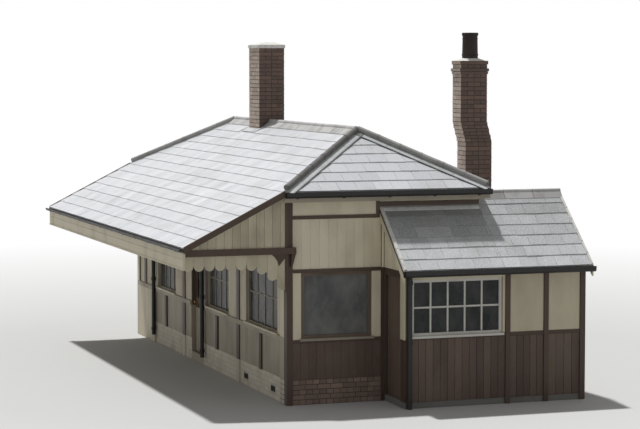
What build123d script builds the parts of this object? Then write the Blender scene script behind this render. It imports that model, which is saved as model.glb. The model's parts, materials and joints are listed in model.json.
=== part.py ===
import os
from math import radians, tan

from build123d import *

os.makedirs("parts", exist_ok=True)

# A small timber railway station building with a slate roof. Sizes are in millimetres.
# X runs along the building, -Y faces the platform, z = 0 is the ground, and the origin is the
# middle of the main block. The annex stands at the +X end and wraps round the rear corner.

# Main block
length = 9460
depth = 3260
wall = 120
base_height = 400
base_wall = 230
floor_top = 150

# Main roof: hipped at both ends, and the front slope runs on down over the platform as a canopy
eave_z = 3408
pitch = 27
roof_depth = 56
hip_run = 1500
end_overhang = 220
eave_overhang = 120
canopy_reach = 1650
clear_height = 2000

# Framing boards that stand proud of the boarded walls
proud = 30
corner_board = 300
corner_return = 70
post_width = 150
post_places = (2100, -1330, -4150)
far_corner_board = 130
stud_width = 90
rail_height = 80
end_rail_height = 55
frieze_rail_top = 3015
top_rail_height = 70

# Windows and their heights, as (middle, width) along their wall
sill_z = 1080
head_z = 2150
front_windows = ((3375, 1710), (835, 1350), (-2595, 1310))
rear_windows = ((835, 1100), (-2595, 1100))
end_window_from_corner = 815
end_window_width = 1190
end_sill_z = 1040
end_head_z = 2110
frame_bar = 60
frame_depth = 80
frame_setback = 20
glass = 6
panel_joint = 0.5

# Platform door
door_near = -80
door_width = 780
door_head = 2150
leaf = 45
side_gap = 6
top_gap = 8
foot_gap = 10
door_stile = 110
door_glass_foot = 1150
door_glass_head = 2020
door_panel_sink = 12

# Hinges
pin_radius = 6
pin_clearance = 0.3
knuckle_radius = 10
knuckle_stand = 11
knuckle_half = 19
hinge_half = 60
hinge_plate = 5
hinge_reach = 62
hinge_rise = 330
hinge_play = 1

# Canopy
fascia = 30
canopy_fascia_drop = 340
eave_fascia_drop = 168
bargeboard = 30
barge_rise = 25
barge_drop = 80
tie_drop = 141
tie_height = 100
tie_width = 110
tie_return = 95
end_board = 30
end_board_inset = 120
valance_depth = 158
valance_lobes = 10
valance_straight = 0.57
valance_roundness = 0.44
valance_bracket_drop = 430
rafter_width = 60
rafter_depth = 100
rafter_count = 11

# Gutters and downpipes
gutter_width = 110
gutter_height = 90
canopy_gutter_width = 75
canopy_gutter_height = 50
gutter_metal = 8
gutter_top_drop = 8
pipe_radius = 37
pipe_places = (30, -3380)
pipe_foot = 150
pipe_top = 2330
seat = 0.3

# Ridge and hip tiles
ridge_wing = 150
ridge_tile = 20
roll_radius = 38
hip_roll_radius = 45
hip_roll_start = 60

# Chimneys
stack_x = -1510
stack_y = 20
stack_length = 620
stack_depth = 480
stack_top = 5700
cap_height = 60
cap_out = 15
flue = 230
flue_depth = 900
rear_stack_length = 350
rear_stack_gap = 260
rear_stack_depth = 470
rear_stack_shift = 90
shift_foot = 4100
shift_top = 4440
rear_stack_top = 5400
pot_radius = 135
pot_top_radius = 125
pot_wall = 28
pot_height = 470

# Annex
annex_reach = 920
annex_width = 3100
annex_wall = 100
annex_floor_top = 100
annex_rear_length = 1480
annex_ridge_run = 1257
annex_eave_out = 150
annex_verge = 90
annex_eave_z = 2190
annex_pitch = 41
annex_roof_depth = 60
annex_window_near = 110
annex_window_width = 1550
annex_sill_z = 1140
annex_head_z = 2030
annex_lights = 5
annex_bar = 45
annex_cover = 60
annex_door_inset = 60
annex_door_width = 700
annex_door_head = 2050
annex_post_places = (1750, 2420)
annex_post_width = 80
flashing_height = 20
flashing_out = 60
flashing_edge = 8
annex_ridge_wing = 110
rear_eave_gap = 20

# Places worked out from the sizes above
end_x = length / 2
side_y = depth / 2
slope = tan(radians(pitch))
eave_x = end_x + end_overhang
eave_y = side_y + eave_overhang
ridge_z = eave_z + eave_y * slope
ridge_x = eave_x - hip_run
canopy_y = eave_y + canopy_reach
canopy_edge_z = ridge_z - canopy_y * slope
eave_fascia_foot = eave_z - eave_fascia_drop
tie_foot = canopy_edge_z - tie_drop
tie_top = tie_foot + tie_height
end_window_middle = -side_y + end_window_from_corner
end_window_y0 = end_window_middle - end_window_width / 2
end_window_y1 = end_window_middle + end_window_width / 2
inner_x = end_x - wall
inner_y = side_y - wall
door_far = door_near - door_width
annex_slope = tan(radians(annex_pitch))
annex_x = end_x + annex_reach
annex_back = end_x - annex_rear_length
annex_eave_x = annex_x + annex_eave_out
annex_back_eave_x = annex_back - annex_eave_out
annex_ridge_x = annex_eave_x - annex_ridge_run
annex_ridge_z = annex_eave_z + annex_ridge_run * annex_slope
annex_back_eave_z = annex_ridge_z - (annex_ridge_x - annex_back_eave_x) * annex_slope
wall_line_z = annex_ridge_z - (end_x - annex_ridge_x) * annex_slope
annex_inner_x = annex_x - annex_wall
annex_far_y = annex_width + annex_verge
sky = ridge_z + clear_height


def roof_z(y):
    """Height of the slates' top face on the front and rear slopes."""
    return ridge_z - abs(y) * slope


def annex_roof_z(x):
    """Height of the slates' top face on the annex."""
    return annex_ridge_z - abs(x - annex_ridge_x) * annex_slope


def block(x0, x1, y0, y1, z0, z1, mode=Mode.ADD):
    """A rectangular block between two corners, in the part being built."""
    with Locations(((x0 + x1) / 2, (y0 + y1) / 2, (z0 + z1) / 2)):
        Box(abs(x1 - x0), abs(y1 - y0), abs(z1 - z0), mode=mode)


def prism(plane, points, start, end):
    """A profile drawn on a plane and extruded from start to end along its normal."""
    with BuildPart() as body:
        with BuildSketch(plane.offset(start)):
            with BuildLine():
                Polyline(*points, close=True)
            make_face()
        extrude(amount=end - start)
    return body.part


def along_x(points, x0, x1):
    """A prism along X of a profile given as (y, z) points."""
    return prism(Plane.YZ, points, x0, x1)


def along_y(points, y0, y1):
    """A prism along Y of a profile given as (x, z) points."""
    return prism(Plane.XZ, points, -y1, -y0)


def upright(points, z0, z1):
    """A prism along Z of a plan given as (x, y) points."""
    return prism(Plane.XY, points, z0, z1)


def gutter_profile(back, top, out, width=gutter_width, height=gutter_height):
    """A channel section whose flat back stands at back and which opens outward along out."""
    front = back + out * width
    foot = top - height
    rim = gutter_metal * out
    return [
        (back, top),
        (back, foot),
        (front - 3 * rim, foot),
        (front, foot + height / 3),
        (front, top),
        (front - rim, top),
        (front - rim, foot + height / 3 + gutter_metal / 2),
        (front - 3 * rim, foot + gutter_metal),
        (back + rim, foot + gutter_metal),
        (back + rim, top),
    ]


# The space below each roof's underside, which trims what reaches up to it
with BuildPart() as under_roof:
    add(along_x([
        (-canopy_y, 0),
        (-canopy_y, roof_z(canopy_y) - roof_depth),
        (0, ridge_z - roof_depth),
        (eave_y, eave_z - roof_depth),
        (eave_y, 0),
    ], -eave_x, eave_x))
    add(along_y([
        (-eave_x, 0),
        (-eave_x, eave_z - roof_depth),
        (-ridge_x, ridge_z - roof_depth),
        (ridge_x, ridge_z - roof_depth),
        (eave_x, eave_z - roof_depth),
        (eave_x, 0),
    ], -canopy_y, canopy_y), mode=Mode.INTERSECT)

with BuildPart() as under_annex:
    add(along_y([
        (annex_back_eave_x, 0),
        (annex_back_eave_x, annex_back_eave_z - annex_roof_depth),
        (annex_ridge_x, annex_ridge_z - annex_roof_depth),
        (annex_eave_x, annex_eave_z - annex_roof_depth),
        (annex_eave_x, 0),
    ], -annex_verge, annex_far_y))

# Brick base of the main block
with BuildPart() as base_front:
    block(door_near, end_x, -side_y, -side_y + base_wall, 0, base_height)
    block(-end_x, door_far, -side_y, -side_y + base_wall, 0, base_height)
base_front.part.label = "base_front"
export_step(base_front.part, "parts/base_front.step")

with BuildPart() as base_rear:
    block(-end_x, end_x, side_y - base_wall, side_y, 0, base_height)
base_rear.part.label = "base_rear"
export_step(base_rear.part, "parts/base_rear.step")

with BuildPart() as base_ends:
    for side in (-1, 1):
        block(side * (end_x - base_wall), side * end_x, -side_y + base_wall, side_y - base_wall, 0, base_height)
base_ends.part.label = "base_ends"
export_step(base_ends.part, "parts/base_ends.step")

# Main floor, with its threshold under the platform door
with BuildPart() as main_floor:
    block(-end_x + base_wall, end_x - base_wall, -side_y + base_wall, side_y - base_wall, 0, floor_top)
    block(door_far, door_near, -side_y, -side_y + base_wall, 0, floor_top)
main_floor.part.label = "main_floor"
export_step(main_floor.part, "parts/main_floor.step")


def cut_windows(windows, y0, y1):
    """Window holes through a wall that lies between y0 and y1."""
    for middle, width in windows:
        block(middle - width / 2, middle + width / 2, y0, y1, sill_z, head_z, mode=Mode.SUBTRACT)


# Boarded walls of the main block, with their tops cut to the roof
with BuildPart() as front_wall_near:
    block(door_near, end_x, -side_y, -inner_y, base_height, sky)
    add(under_roof.part, mode=Mode.INTERSECT)
    cut_windows(front_windows[:2], -side_y, -inner_y)
front_wall_near.part.label = "front_wall_near"
export_step(front_wall_near.part, "parts/front_wall_near.step")

with BuildPart() as front_wall_far:
    block(-end_x, door_far, -side_y, -inner_y, base_height, sky)
    add(under_roof.part, mode=Mode.INTERSECT)
    cut_windows(front_windows[2:], -side_y, -inner_y)
front_wall_far.part.label = "front_wall_far"
export_step(front_wall_far.part, "parts/front_wall_far.step")

with BuildPart() as front_wall_over_door:
    block(door_far, door_near, -side_y, -inner_y, door_head, sky)
    add(under_roof.part, mode=Mode.INTERSECT)
front_wall_over_door.part.label = "front_wall_over_door"
export_step(front_wall_over_door.part, "parts/front_wall_over_door.step")

with BuildPart() as rear_wall:
    block(-end_x, end_x, inner_y, side_y, base_height, sky)
    add(under_roof.part, mode=Mode.INTERSECT)
    cut_windows(rear_windows, inner_y, side_y)
rear_wall.part.label = "rear_wall"
export_step(rear_wall.part, "parts/rear_wall.step")


def end_wall(side):
    """An end wall in four framed panels round its window, with a hairline joint between them."""
    inner = side * inner_x
    outer = side * end_x
    with BuildPart() as body:
        block(inner, outer, -inner_y, inner_y, base_height, end_sill_z - panel_joint)
        block(inner, outer, -inner_y, end_window_y0, end_sill_z, end_head_z)
        block(inner, outer, end_window_y1, inner_y, end_sill_z, end_head_z)
        block(inner, outer, -inner_y, inner_y, end_head_z + panel_joint, sky)
        add(under_roof.part, mode=Mode.INTERSECT)
    return body.part


with BuildPart() as near_end_wall:
    add(end_wall(1))
near_end_wall.part.label = "near_end_wall"
export_step(near_end_wall.part, "parts/near_end_wall.step")

with BuildPart() as far_end_wall:
    add(end_wall(-1))
far_end_wall.part.label = "far_end_wall"
export_step(far_end_wall.part, "parts/far_end_wall.step")


def corner_boards(side_x, side_sign_y, front_width, return_width):
    """Boards that wrap a corner of the main block, from the base to the roof."""
    face_x = side_x * end_x
    face_y = side_sign_y * side_y
    out_x = side_x * (end_x + proud)
    out_y = side_sign_y * (side_y + proud)
    with BuildPart() as body:
        block(face_x - side_x * front_width, out_x, face_y, out_y, 0, sky)
        block(face_x, out_x, face_y - side_sign_y * return_width, face_y, 0, sky)
        add(under_roof.part, mode=Mode.INTERSECT)
    return body.part


# Posts: corner boards, the proud posts between the windows and the short studs below them
with BuildPart() as wall_posts:
    add(corner_boards(1, -1, corner_board, corner_return))
    add(corner_boards(-1, -1, far_corner_board, corner_return))
    add(corner_boards(-1, 1, far_corner_board, corner_return))
    for middle in post_places:
        block(middle - post_width / 2, middle + post_width / 2, -side_y - proud, -side_y, 0, sky)
    for middle, width in front_windows:
        block(middle - stud_width / 2, middle + stud_width / 2, -side_y - proud, -side_y,
              base_height, sill_z - rail_height)
    block(end_x, end_x + proud, -annex_cover, 0, 0, annex_roof_z(end_x + proud) - annex_roof_depth)
    block(end_x, end_x + proud, -annex_verge - annex_cover, -annex_verge, frieze_rail_top, eave_fascia_foot)
    add(under_roof.part, mode=Mode.INTERSECT)
wall_posts.part.label = "wall_posts"
export_step(wall_posts.part, "parts/wall_posts.step")

# Rails: the sill and head boards between the posts, and those of the end walls
bay_edges = [(post_places[0] + post_width / 2, end_x - corner_board),
             (door_near, post_places[0] - post_width / 2),
             (post_places[1] + post_width / 2, door_far),
             (post_places[2] + post_width / 2, post_places[1] - post_width / 2),
             (-end_x + far_corner_board, post_places[2] - post_width / 2)]
end_rail_tops = (end_sill_z, end_head_z + end_rail_height, frieze_rail_top)
rail_end = {top: -annex_cover for top in end_rail_tops}
rail_end[frieze_rail_top] = -annex_verge
with BuildPart() as wall_rails:
    for x0, x1 in bay_edges:
        block(x0, x1, -side_y - proud, -side_y, sill_z - rail_height, sill_z)
        block(x0, x1, -side_y - proud, -side_y, head_z, head_z + rail_height)
    for top in end_rail_tops:
        block(end_x, end_x + proud, -side_y + corner_return, rail_end[top], top - end_rail_height, top)
        block(-end_x - proud, -end_x, -side_y + corner_return, side_y - corner_return,
              top - end_rail_height, top)
    top_rail_foot = wall_line_z + flashing_height
    block(end_x, end_x + proud, -annex_verge, side_y, top_rail_foot, top_rail_foot + top_rail_height)
wall_rails.part.label = "wall_rails"
export_step(wall_rails.part, "parts/wall_rails.step")


def framed_x(windows, face, inward, bars):
    """Window frames in a wall along X. They stand back from its face by the setback."""
    y0 = face + inward * frame_setback
    y1 = y0 + inward * frame_depth
    with BuildPart() as body:
        for middle, width in windows:
            x0 = middle - width / 2
            light = (width - frame_bar * (bars + 2)) / (bars + 1)
            block(x0, x0 + width, y0, y1, sill_z, head_z)
            for number in range(bars + 1):
                left = x0 + frame_bar + number * (light + frame_bar)
                block(left, left + light, y0, y1, sill_z + frame_bar, head_z - frame_bar, mode=Mode.SUBTRACT)
    return body.part


def panes_x(windows, face, inward, bars):
    """The glass of the same frames."""
    middle_y = face + inward * (frame_setback + frame_depth / 2)
    with BuildPart() as body:
        for middle, width in windows:
            x0 = middle - width / 2
            light = (width - frame_bar * (bars + 2)) / (bars + 1)
            for number in range(bars + 1):
                left = x0 + frame_bar + number * (light + frame_bar)
                block(left, left + light, middle_y - glass / 2, middle_y + glass / 2,
                      sill_z + frame_bar, head_z - frame_bar)
    return body.part


# Window frames and glass
with BuildPart() as front_window_frames:
    add(framed_x(front_windows, -side_y, 1, 1))
front_window_frames.part.label = "front_window_frames"
export_step(front_window_frames.part, "parts/front_window_frames.step")

with BuildPart() as front_window_glass:
    add(panes_x(front_windows, -side_y, 1, 1))
front_window_glass.part.label = "front_window_glass"
export_step(front_window_glass.part, "parts/front_window_glass.step")

with BuildPart() as rear_window_frames:
    add(framed_x(rear_windows, side_y, -1, 1))
rear_window_frames.part.label = "rear_window_frames"
export_step(rear_window_frames.part, "parts/rear_window_frames.step")

with BuildPart() as rear_window_glass:
    add(panes_x(rear_windows, side_y, -1, 1))
rear_window_glass.part.label = "rear_window_glass"
export_step(rear_window_glass.part, "parts/rear_window_glass.step")

with BuildPart() as end_window_frames:
    for side in (-1, 1):
        outer = side * (end_x - frame_setback)
        back = side * (end_x - frame_setback - frame_depth)
        block(back, outer, end_window_y0, end_window_y1, end_sill_z, end_head_z)
        block(back, outer, end_window_y0 + frame_bar, end_window_y1 - frame_bar,
              end_sill_z + frame_bar, end_head_z - frame_bar, mode=Mode.SUBTRACT)
end_window_frames.part.label = "end_window_frames"
export_step(end_window_frames.part, "parts/end_window_frames.step")

with BuildPart() as end_window_glass:
    for side in (-1, 1):
        pane_x = side * (end_x - frame_setback - frame_depth / 2)
        block(pane_x - glass / 2, pane_x + glass / 2, end_window_y0 + frame_bar,
              end_window_y1 - frame_bar, end_sill_z + frame_bar, end_head_z - frame_bar)
end_window_glass.part.label = "end_window_glass"
export_step(end_window_glass.part, "parts/end_window_glass.step")


def hinge_heights(foot, head):
    """Middles of a door's two hinges."""
    return (foot + hinge_rise, head - hinge_rise)


def fixed_hinge(pin_x, face_y, hand, heights):
    """Plates on the jamb with lugs and pins. The leaf runs from the pin along hand."""
    with BuildPart() as body:
        for middle in heights:
            block(pin_x - hand * hinge_reach, pin_x - hand * (knuckle_radius + hinge_play), face_y,
                  face_y + hinge_plate, middle - hinge_half, middle + hinge_half)
            for side in (-1, 1):
                lug_middle = middle + side * (hinge_half + knuckle_half + hinge_play) / 2
                lug_height = hinge_half - knuckle_half - hinge_play
                block(pin_x - hand * (knuckle_radius + hinge_play), pin_x, face_y, face_y + hinge_plate,
                      lug_middle - lug_height / 2, lug_middle + lug_height / 2)
                with Locations((pin_x, face_y + knuckle_stand, lug_middle)):
                    Cylinder(knuckle_radius, lug_height)
            with Locations((pin_x, face_y + knuckle_stand, middle)):
                Cylinder(pin_radius, 2 * hinge_half)
    return body.part


def strap_hinge(pin_x, face_y, hand, heights):
    """Knuckles and straps that swing with the leaf."""
    with BuildPart() as body:
        for middle in heights:
            block(pin_x, pin_x + hand * hinge_reach, face_y, face_y + hinge_plate,
                  middle - knuckle_half, middle + knuckle_half)
            with Locations((pin_x, face_y + knuckle_stand, middle)):
                Cylinder(knuckle_radius, 2 * knuckle_half)
                Cylinder(pin_radius + pin_clearance, 2 * knuckle_half, mode=Mode.SUBTRACT)
    return body.part


# Platform door: a half-glazed leaf that opens inward on the jamb nearer the annex
platform_pin_x = door_near - side_gap / 2
door_foot_z = floor_top + foot_gap
door_top_z = door_head - top_gap
platform_hinges = hinge_heights(door_foot_z, door_top_z)
leaf_near = door_near - side_gap
leaf_far = door_far + side_gap
with BuildPart() as platform_door:
    block(leaf_far, leaf_near, -inner_y - leaf, -inner_y, door_foot_z, door_top_z)
    block(leaf_far + door_stile, leaf_near - door_stile, -inner_y - leaf, -inner_y,
          door_glass_foot, door_glass_head, mode=Mode.SUBTRACT)
    for face in (-inner_y - leaf, -inner_y - door_panel_sink):
        block(leaf_far + door_stile, leaf_near - door_stile, face, face + door_panel_sink,
              door_foot_z + 2 * door_stile, door_glass_foot - door_stile, mode=Mode.SUBTRACT)
    add(strap_hinge(platform_pin_x, -inner_y, -1, platform_hinges))
platform_door.part.label = "platform_door"
export_step(platform_door.part, "parts/platform_door.step")

with BuildPart() as platform_door_glass:
    block(leaf_far + door_stile, leaf_near - door_stile, -inner_y - leaf / 2 - glass / 2,
          -inner_y - leaf / 2 + glass / 2, door_glass_foot, door_glass_head)
platform_door_glass.part.label = "platform_door_glass"
export_step(platform_door_glass.part, "parts/platform_door_glass.step")

# Annex door: a boarded leaf in the side wall towards the platform, opening inward
annex_jamb = end_x + annex_door_inset
annex_pin_x = annex_jamb + side_gap / 2
annex_leaf_foot = annex_floor_top + foot_gap
annex_leaf_top = annex_door_head - top_gap
annex_hinges = hinge_heights(annex_leaf_foot, annex_leaf_top)
with BuildPart() as annex_door:
    block(annex_jamb + side_gap, annex_jamb + annex_door_width - side_gap, annex_wall - leaf, annex_wall,
          annex_leaf_foot, annex_leaf_top)
    add(strap_hinge(annex_pin_x, annex_wall, 1, annex_hinges))
annex_door.part.label = "annex_door"
export_step(annex_door.part, "parts/annex_door.step")

with BuildPart() as door_hinges:
    add(fixed_hinge(platform_pin_x, -inner_y, -1, platform_hinges))
    add(fixed_hinge(annex_pin_x, annex_wall, 1, annex_hinges))
door_hinges.part.label = "door_hinges"
export_step(door_hinges.part, "parts/door_hinges.step")

# Main roof slopes, mitred at the hips and cut round the ridge chimney
stack_x0 = stack_x - stack_length / 2
stack_x1 = stack_x + stack_length / 2
stack_y0 = stack_y - stack_depth / 2
stack_y1 = stack_y + stack_depth / 2
with BuildPart() as front_roof_slope:
    add(along_x([
        (-canopy_y, roof_z(canopy_y)),
        (0, ridge_z),
        (0, ridge_z - roof_depth),
        (-canopy_y, roof_z(canopy_y) - roof_depth),
    ], -eave_x, eave_x))
    add(upright([
        (-ridge_x, 0),
        (ridge_x, 0),
        (eave_x, -eave_y),
        (eave_x, -canopy_y),
        (-eave_x, -canopy_y),
        (-eave_x, -eave_y),
    ], 0, sky), mode=Mode.INTERSECT)
    block(stack_x0, stack_x1, stack_y0, stack_y1, 0, sky, mode=Mode.SUBTRACT)
front_roof_slope.part.label = "front_roof_slope"
export_step(front_roof_slope.part, "parts/front_roof_slope.step")

with BuildPart() as rear_roof_slope:
    add(along_x([
        (eave_y, eave_z),
        (0, ridge_z),
        (0, ridge_z - roof_depth),
        (eave_y, eave_z - roof_depth),
    ], -eave_x, eave_x))
    add(upright([(-ridge_x, 0), (ridge_x, 0), (eave_x, eave_y), (-eave_x, eave_y)], 0, sky),
        mode=Mode.INTERSECT)
    block(stack_x0, stack_x1, stack_y0, stack_y1, 0, sky, mode=Mode.SUBTRACT)
rear_roof_slope.part.label = "rear_roof_slope"
export_step(rear_roof_slope.part, "parts/rear_roof_slope.step")


def hip_end(side):
    """The triangular slope over an end of the building."""
    with BuildPart() as body:
        add(along_y([
            (side * eave_x, eave_z),
            (side * ridge_x, ridge_z),
            (side * ridge_x, ridge_z - roof_depth),
            (side * eave_x, eave_z - roof_depth),
        ], -eave_y, eave_y))
        add(upright([(side * ridge_x, 0), (side * eave_x, eave_y), (side * eave_x, -eave_y)], 0, sky),
            mode=Mode.INTERSECT)
    return body.part


with BuildPart() as near_hip_slope:
    add(hip_end(1))
near_hip_slope.part.label = "near_hip_slope"
export_step(near_hip_slope.part, "parts/near_hip_slope.step")

with BuildPart() as far_hip_slope:
    add(hip_end(-1))
far_hip_slope.part.label = "far_hip_slope"
export_step(far_hip_slope.part, "parts/far_hip_slope.step")


def ridge_run(x0, x1):
    """A winged ridge tile with a round roll, lying on both slopes of the main roof."""
    with BuildPart() as body:
        with BuildSketch(Plane.YZ.offset(x0)):
            with BuildLine():
                Polyline(
                    (-ridge_wing, roof_z(ridge_wing)),
                    (0, ridge_z),
                    (ridge_wing, roof_z(ridge_wing)),
                    (ridge_wing, roof_z(ridge_wing) + ridge_tile),
                    (0, ridge_z + ridge_tile),
                    (-ridge_wing, roof_z(ridge_wing) + ridge_tile),
                    close=True,
                )
            make_face()
            with Locations((0, ridge_z + ridge_tile + roll_radius / 2)):
                Circle(roll_radius)
        extrude(amount=x1 - x0)
    return body.part


# Ridge tiles each side of the chimney
with BuildPart() as ridge_tiles:
    add(ridge_run(-ridge_x, stack_x0))
    add(ridge_run(stack_x1, ridge_x))
ridge_tiles.part.label = "ridge_tiles"
export_step(ridge_tiles.part, "parts/ridge_tiles.step")


def hip_roll(side_x, side_y_sign):
    """A round roll along one hip, seated on the edge where the two slopes meet."""
    foot = Vector(side_x * eave_x, side_y_sign * eave_y, eave_z)
    top = Vector(side_x * ridge_x, 0, ridge_z)
    run = (top - foot).normalized()
    across = Vector(0, 0, 1).cross(run).normalized()
    lift = run.cross(across).normalized() * (hip_roll_radius + seat)
    distance = (top - foot).length - ridge_wing - hip_roll_start
    with BuildPart() as body:
        with BuildSketch(Plane(origin=foot + run * hip_roll_start + lift, x_dir=across, z_dir=run)):
            Circle(hip_roll_radius)
        extrude(amount=distance)
    return body.part


with BuildPart() as hip_rolls:
    for side_x in (-1, 1):
        for side_y_sign in (-1, 1):
            add(hip_roll(side_x, side_y_sign))
hip_rolls.part.label = "hip_rolls"
export_step(hip_rolls.part, "parts/hip_rolls.step")

# Fascia boards under the main eaves, and the deeper one along the canopy
rear_eave_end = annex_back_eave_x - rear_eave_gap
with BuildPart() as fascia_boards:
    block(eave_x - fascia, eave_x, -eave_y, eave_y, eave_fascia_foot, sky)
    block(-eave_x, -eave_x + fascia, -eave_y, eave_y, eave_fascia_foot, sky)
    block(-eave_x, rear_eave_end, eave_y - fascia, eave_y, eave_fascia_foot, sky)
    block(-eave_x, eave_x, -canopy_y, -canopy_y + fascia, canopy_edge_z - canopy_fascia_drop, sky)
    add(under_roof.part, mode=Mode.INTERSECT)
fascia_boards.part.label = "fascia_boards"
export_step(fascia_boards.part, "parts/fascia_boards.step")

# Canopy framing: rafters under the slates and tie beams at the posts and both ends
rafter_pitch = (2 * end_x - 2 * rafter_width) / (rafter_count - 1)
with BuildPart() as canopy_rafters:
    for number in range(rafter_count):
        middle = (number - (rafter_count - 1) / 2) * rafter_pitch
        add(along_x([
            (-side_y - proud, roof_z(side_y + proud) - roof_depth),
            (-side_y - proud, roof_z(side_y + proud) - roof_depth - rafter_depth),
            (-canopy_y + fascia, roof_z(canopy_y - fascia) - roof_depth - rafter_depth),
            (-canopy_y + fascia, roof_z(canopy_y - fascia) - roof_depth),
        ], middle - rafter_width / 2, middle + rafter_width / 2))
canopy_rafters.part.label = "canopy_rafters"
export_step(canopy_rafters.part, "parts/canopy_rafters.step")

with BuildPart() as tie_beams:
    for side in (-1, 1):
        block(side * (end_x + proud), side * (end_x + proud + tie_width), -canopy_y + fascia,
              -side_y + tie_return, tie_foot, tie_top)
    for middle in post_places[:2]:
        block(middle - tie_width / 2, middle + tie_width / 2, -canopy_y + fascia, -side_y - proud,
              tie_foot, tie_top)
    add(under_roof.part, mode=Mode.INTERSECT)
tie_beams.part.label = "tie_beams"
export_step(tie_beams.part, "parts/tie_beams.step")

# Bargeboards on the canopy's sloping ends
with BuildPart() as bargeboards:
    for side in (-1, 1):
        edge = side * eave_x
        add(along_x([
            (-canopy_y, roof_z(canopy_y) + barge_rise),
            (-eave_y, eave_z + barge_rise),
            (-eave_y, eave_z - barge_drop),
            (-canopy_y, roof_z(canopy_y) - barge_drop),
        ], min(edge, edge + side * bargeboard), max(edge, edge + side * bargeboard)))
bargeboards.part.label = "bargeboards"
export_step(bargeboards.part, "parts/bargeboards.step")

# Boarded triangles between the bargeboards and the tie beams
with BuildPart() as canopy_end_boards:
    for side in (-1, 1):
        outer = side * (eave_x - end_board_inset)
        block(outer, outer - side * end_board, -canopy_y + fascia, -side_y - proud, tie_top, sky)
    add(under_roof.part, mode=Mode.INTERSECT)
canopy_end_boards.part.label = "canopy_end_boards"
export_step(canopy_end_boards.part, "parts/canopy_end_boards.step")


def valance(side):
    """A board with round hanging lobes, whose lower edge curves down to a bracket at the wall."""
    outer = side * (eave_x - end_board_inset)
    start = -canopy_y + fascia
    reach = canopy_y - fascia - side_y - proud
    lobe = reach / valance_lobes
    radius = valance_roundness * lobe
    curve_y = start + reach * valance_straight
    curve_z = tie_foot - valance_depth

    def edge(y):
        return curve_z - valance_bracket_drop * max(0, (y - curve_y) / (start + reach - curve_y)) ** 2

    with BuildPart() as body:
        with BuildSketch(Plane.YZ.offset(min(outer, outer - side * end_board))):
            with BuildLine():
                Polyline(
                    (start + reach, edge(start + reach)),
                    (start + reach, tie_foot),
                    (start, tie_foot),
                    (start, curve_z),
                    (curve_y, curve_z),
                )
                Spline(
                    (curve_y, curve_z),
                    (curve_y / 2 + (start + reach) / 2, edge(curve_y / 2 + (start + reach) / 2)),
                    (start + reach, edge(start + reach)),
                    tangents=((1, 0), (start + reach - curve_y, -2 * valance_bracket_drop)),
                )
            make_face()
            for number in range(valance_lobes):
                y = start + (number + 0.5) * lobe
                with Locations((y, edge(y))):
                    Circle(radius)
        extrude(amount=end_board)
    return body.part


with BuildPart() as valances:
    add(valance(1))
    add(valance(-1))
valances.part.label = "valances"
export_step(valances.part, "parts/valances.step")

# Gutters: both hips, the rear eave, the canopy and the annex
canopy_gutter_top = roof_z(canopy_y) - gutter_top_drop
eave_gutter_top = eave_z - gutter_top_drop
annex_gutter_top = annex_eave_z - gutter_top_drop
annex_back_gutter_top = annex_back_eave_z - gutter_top_drop
with BuildPart() as gutters:
    add(along_y(gutter_profile(eave_x, eave_gutter_top, 1), -eave_y, eave_y))
    add(along_y(gutter_profile(-eave_x, eave_gutter_top, -1), -eave_y, eave_y))
    add(along_x(gutter_profile(eave_y, eave_gutter_top, 1), -eave_x, rear_eave_end))
    add(along_x(gutter_profile(-canopy_y, canopy_gutter_top, -1, canopy_gutter_width, canopy_gutter_height),
                -eave_x - bargeboard, eave_x + bargeboard))
    add(along_y(gutter_profile(annex_eave_x, annex_gutter_top, 1), -annex_verge, annex_far_y))
    add(along_y(gutter_profile(annex_back_eave_x, annex_back_gutter_top, -1),
                eave_y + gutter_width, annex_far_y))
gutters.part.label = "gutters"
export_step(gutters.part, "parts/gutters.step")

# Downpipes on the platform wall and at the annex's front corner
pipe_y = -side_y - proud - pipe_radius - seat
annex_pipe_y = annex_window_near / 2
with BuildPart() as downpipes:
    for place in pipe_places:
        with Locations((place, pipe_y, (pipe_foot + pipe_top) / 2)):
            Cylinder(pipe_radius, pipe_top - pipe_foot)
    annex_pipe_top = annex_gutter_top - gutter_height
    with Locations((annex_x + proud + pipe_radius + seat, annex_pipe_y, annex_pipe_top / 2)):
        Cylinder(pipe_radius, annex_pipe_top)
downpipes.part.label = "downpipes"
export_step(downpipes.part, "parts/downpipes.step")

# Ridge chimney, standing on the floor and open at its flue
with BuildPart() as ridge_chimney:
    block(stack_x0, stack_x1, stack_y0, stack_y1, floor_top, stack_top)
    block(stack_x - flue / 2, stack_x + flue / 2, stack_y - flue / 2, stack_y + flue / 2,
          stack_top - flue_depth, stack_top, mode=Mode.SUBTRACT)
ridge_chimney.part.label = "ridge_chimney"
export_step(ridge_chimney.part, "parts/ridge_chimney.step")

# Rear chimney, which leans in by a short gathered length above the annex roof
rear_y0 = side_y + rear_stack_gap
rear_y1 = rear_y0 + rear_stack_depth
rear_x0 = annex_back
rear_x1 = annex_back + rear_stack_length
rear_stack_x = (rear_x0 + rear_x1) / 2
rear_top_y = (rear_y0 + rear_y1) / 2 - rear_stack_shift
with BuildPart() as rear_chimney:
    add(along_x([
        (rear_y0, annex_floor_top),
        (rear_y0, shift_foot),
        (rear_y0 - rear_stack_shift, shift_top),
        (rear_y0 - rear_stack_shift, rear_stack_top),
        (rear_y1 - rear_stack_shift, rear_stack_top),
        (rear_y1 - rear_stack_shift, shift_top),
        (rear_y1, shift_foot),
        (rear_y1, annex_floor_top),
    ], rear_x0, rear_x1))
rear_chimney.part.label = "rear_chimney"
export_step(rear_chimney.part, "parts/rear_chimney.step")

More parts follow.
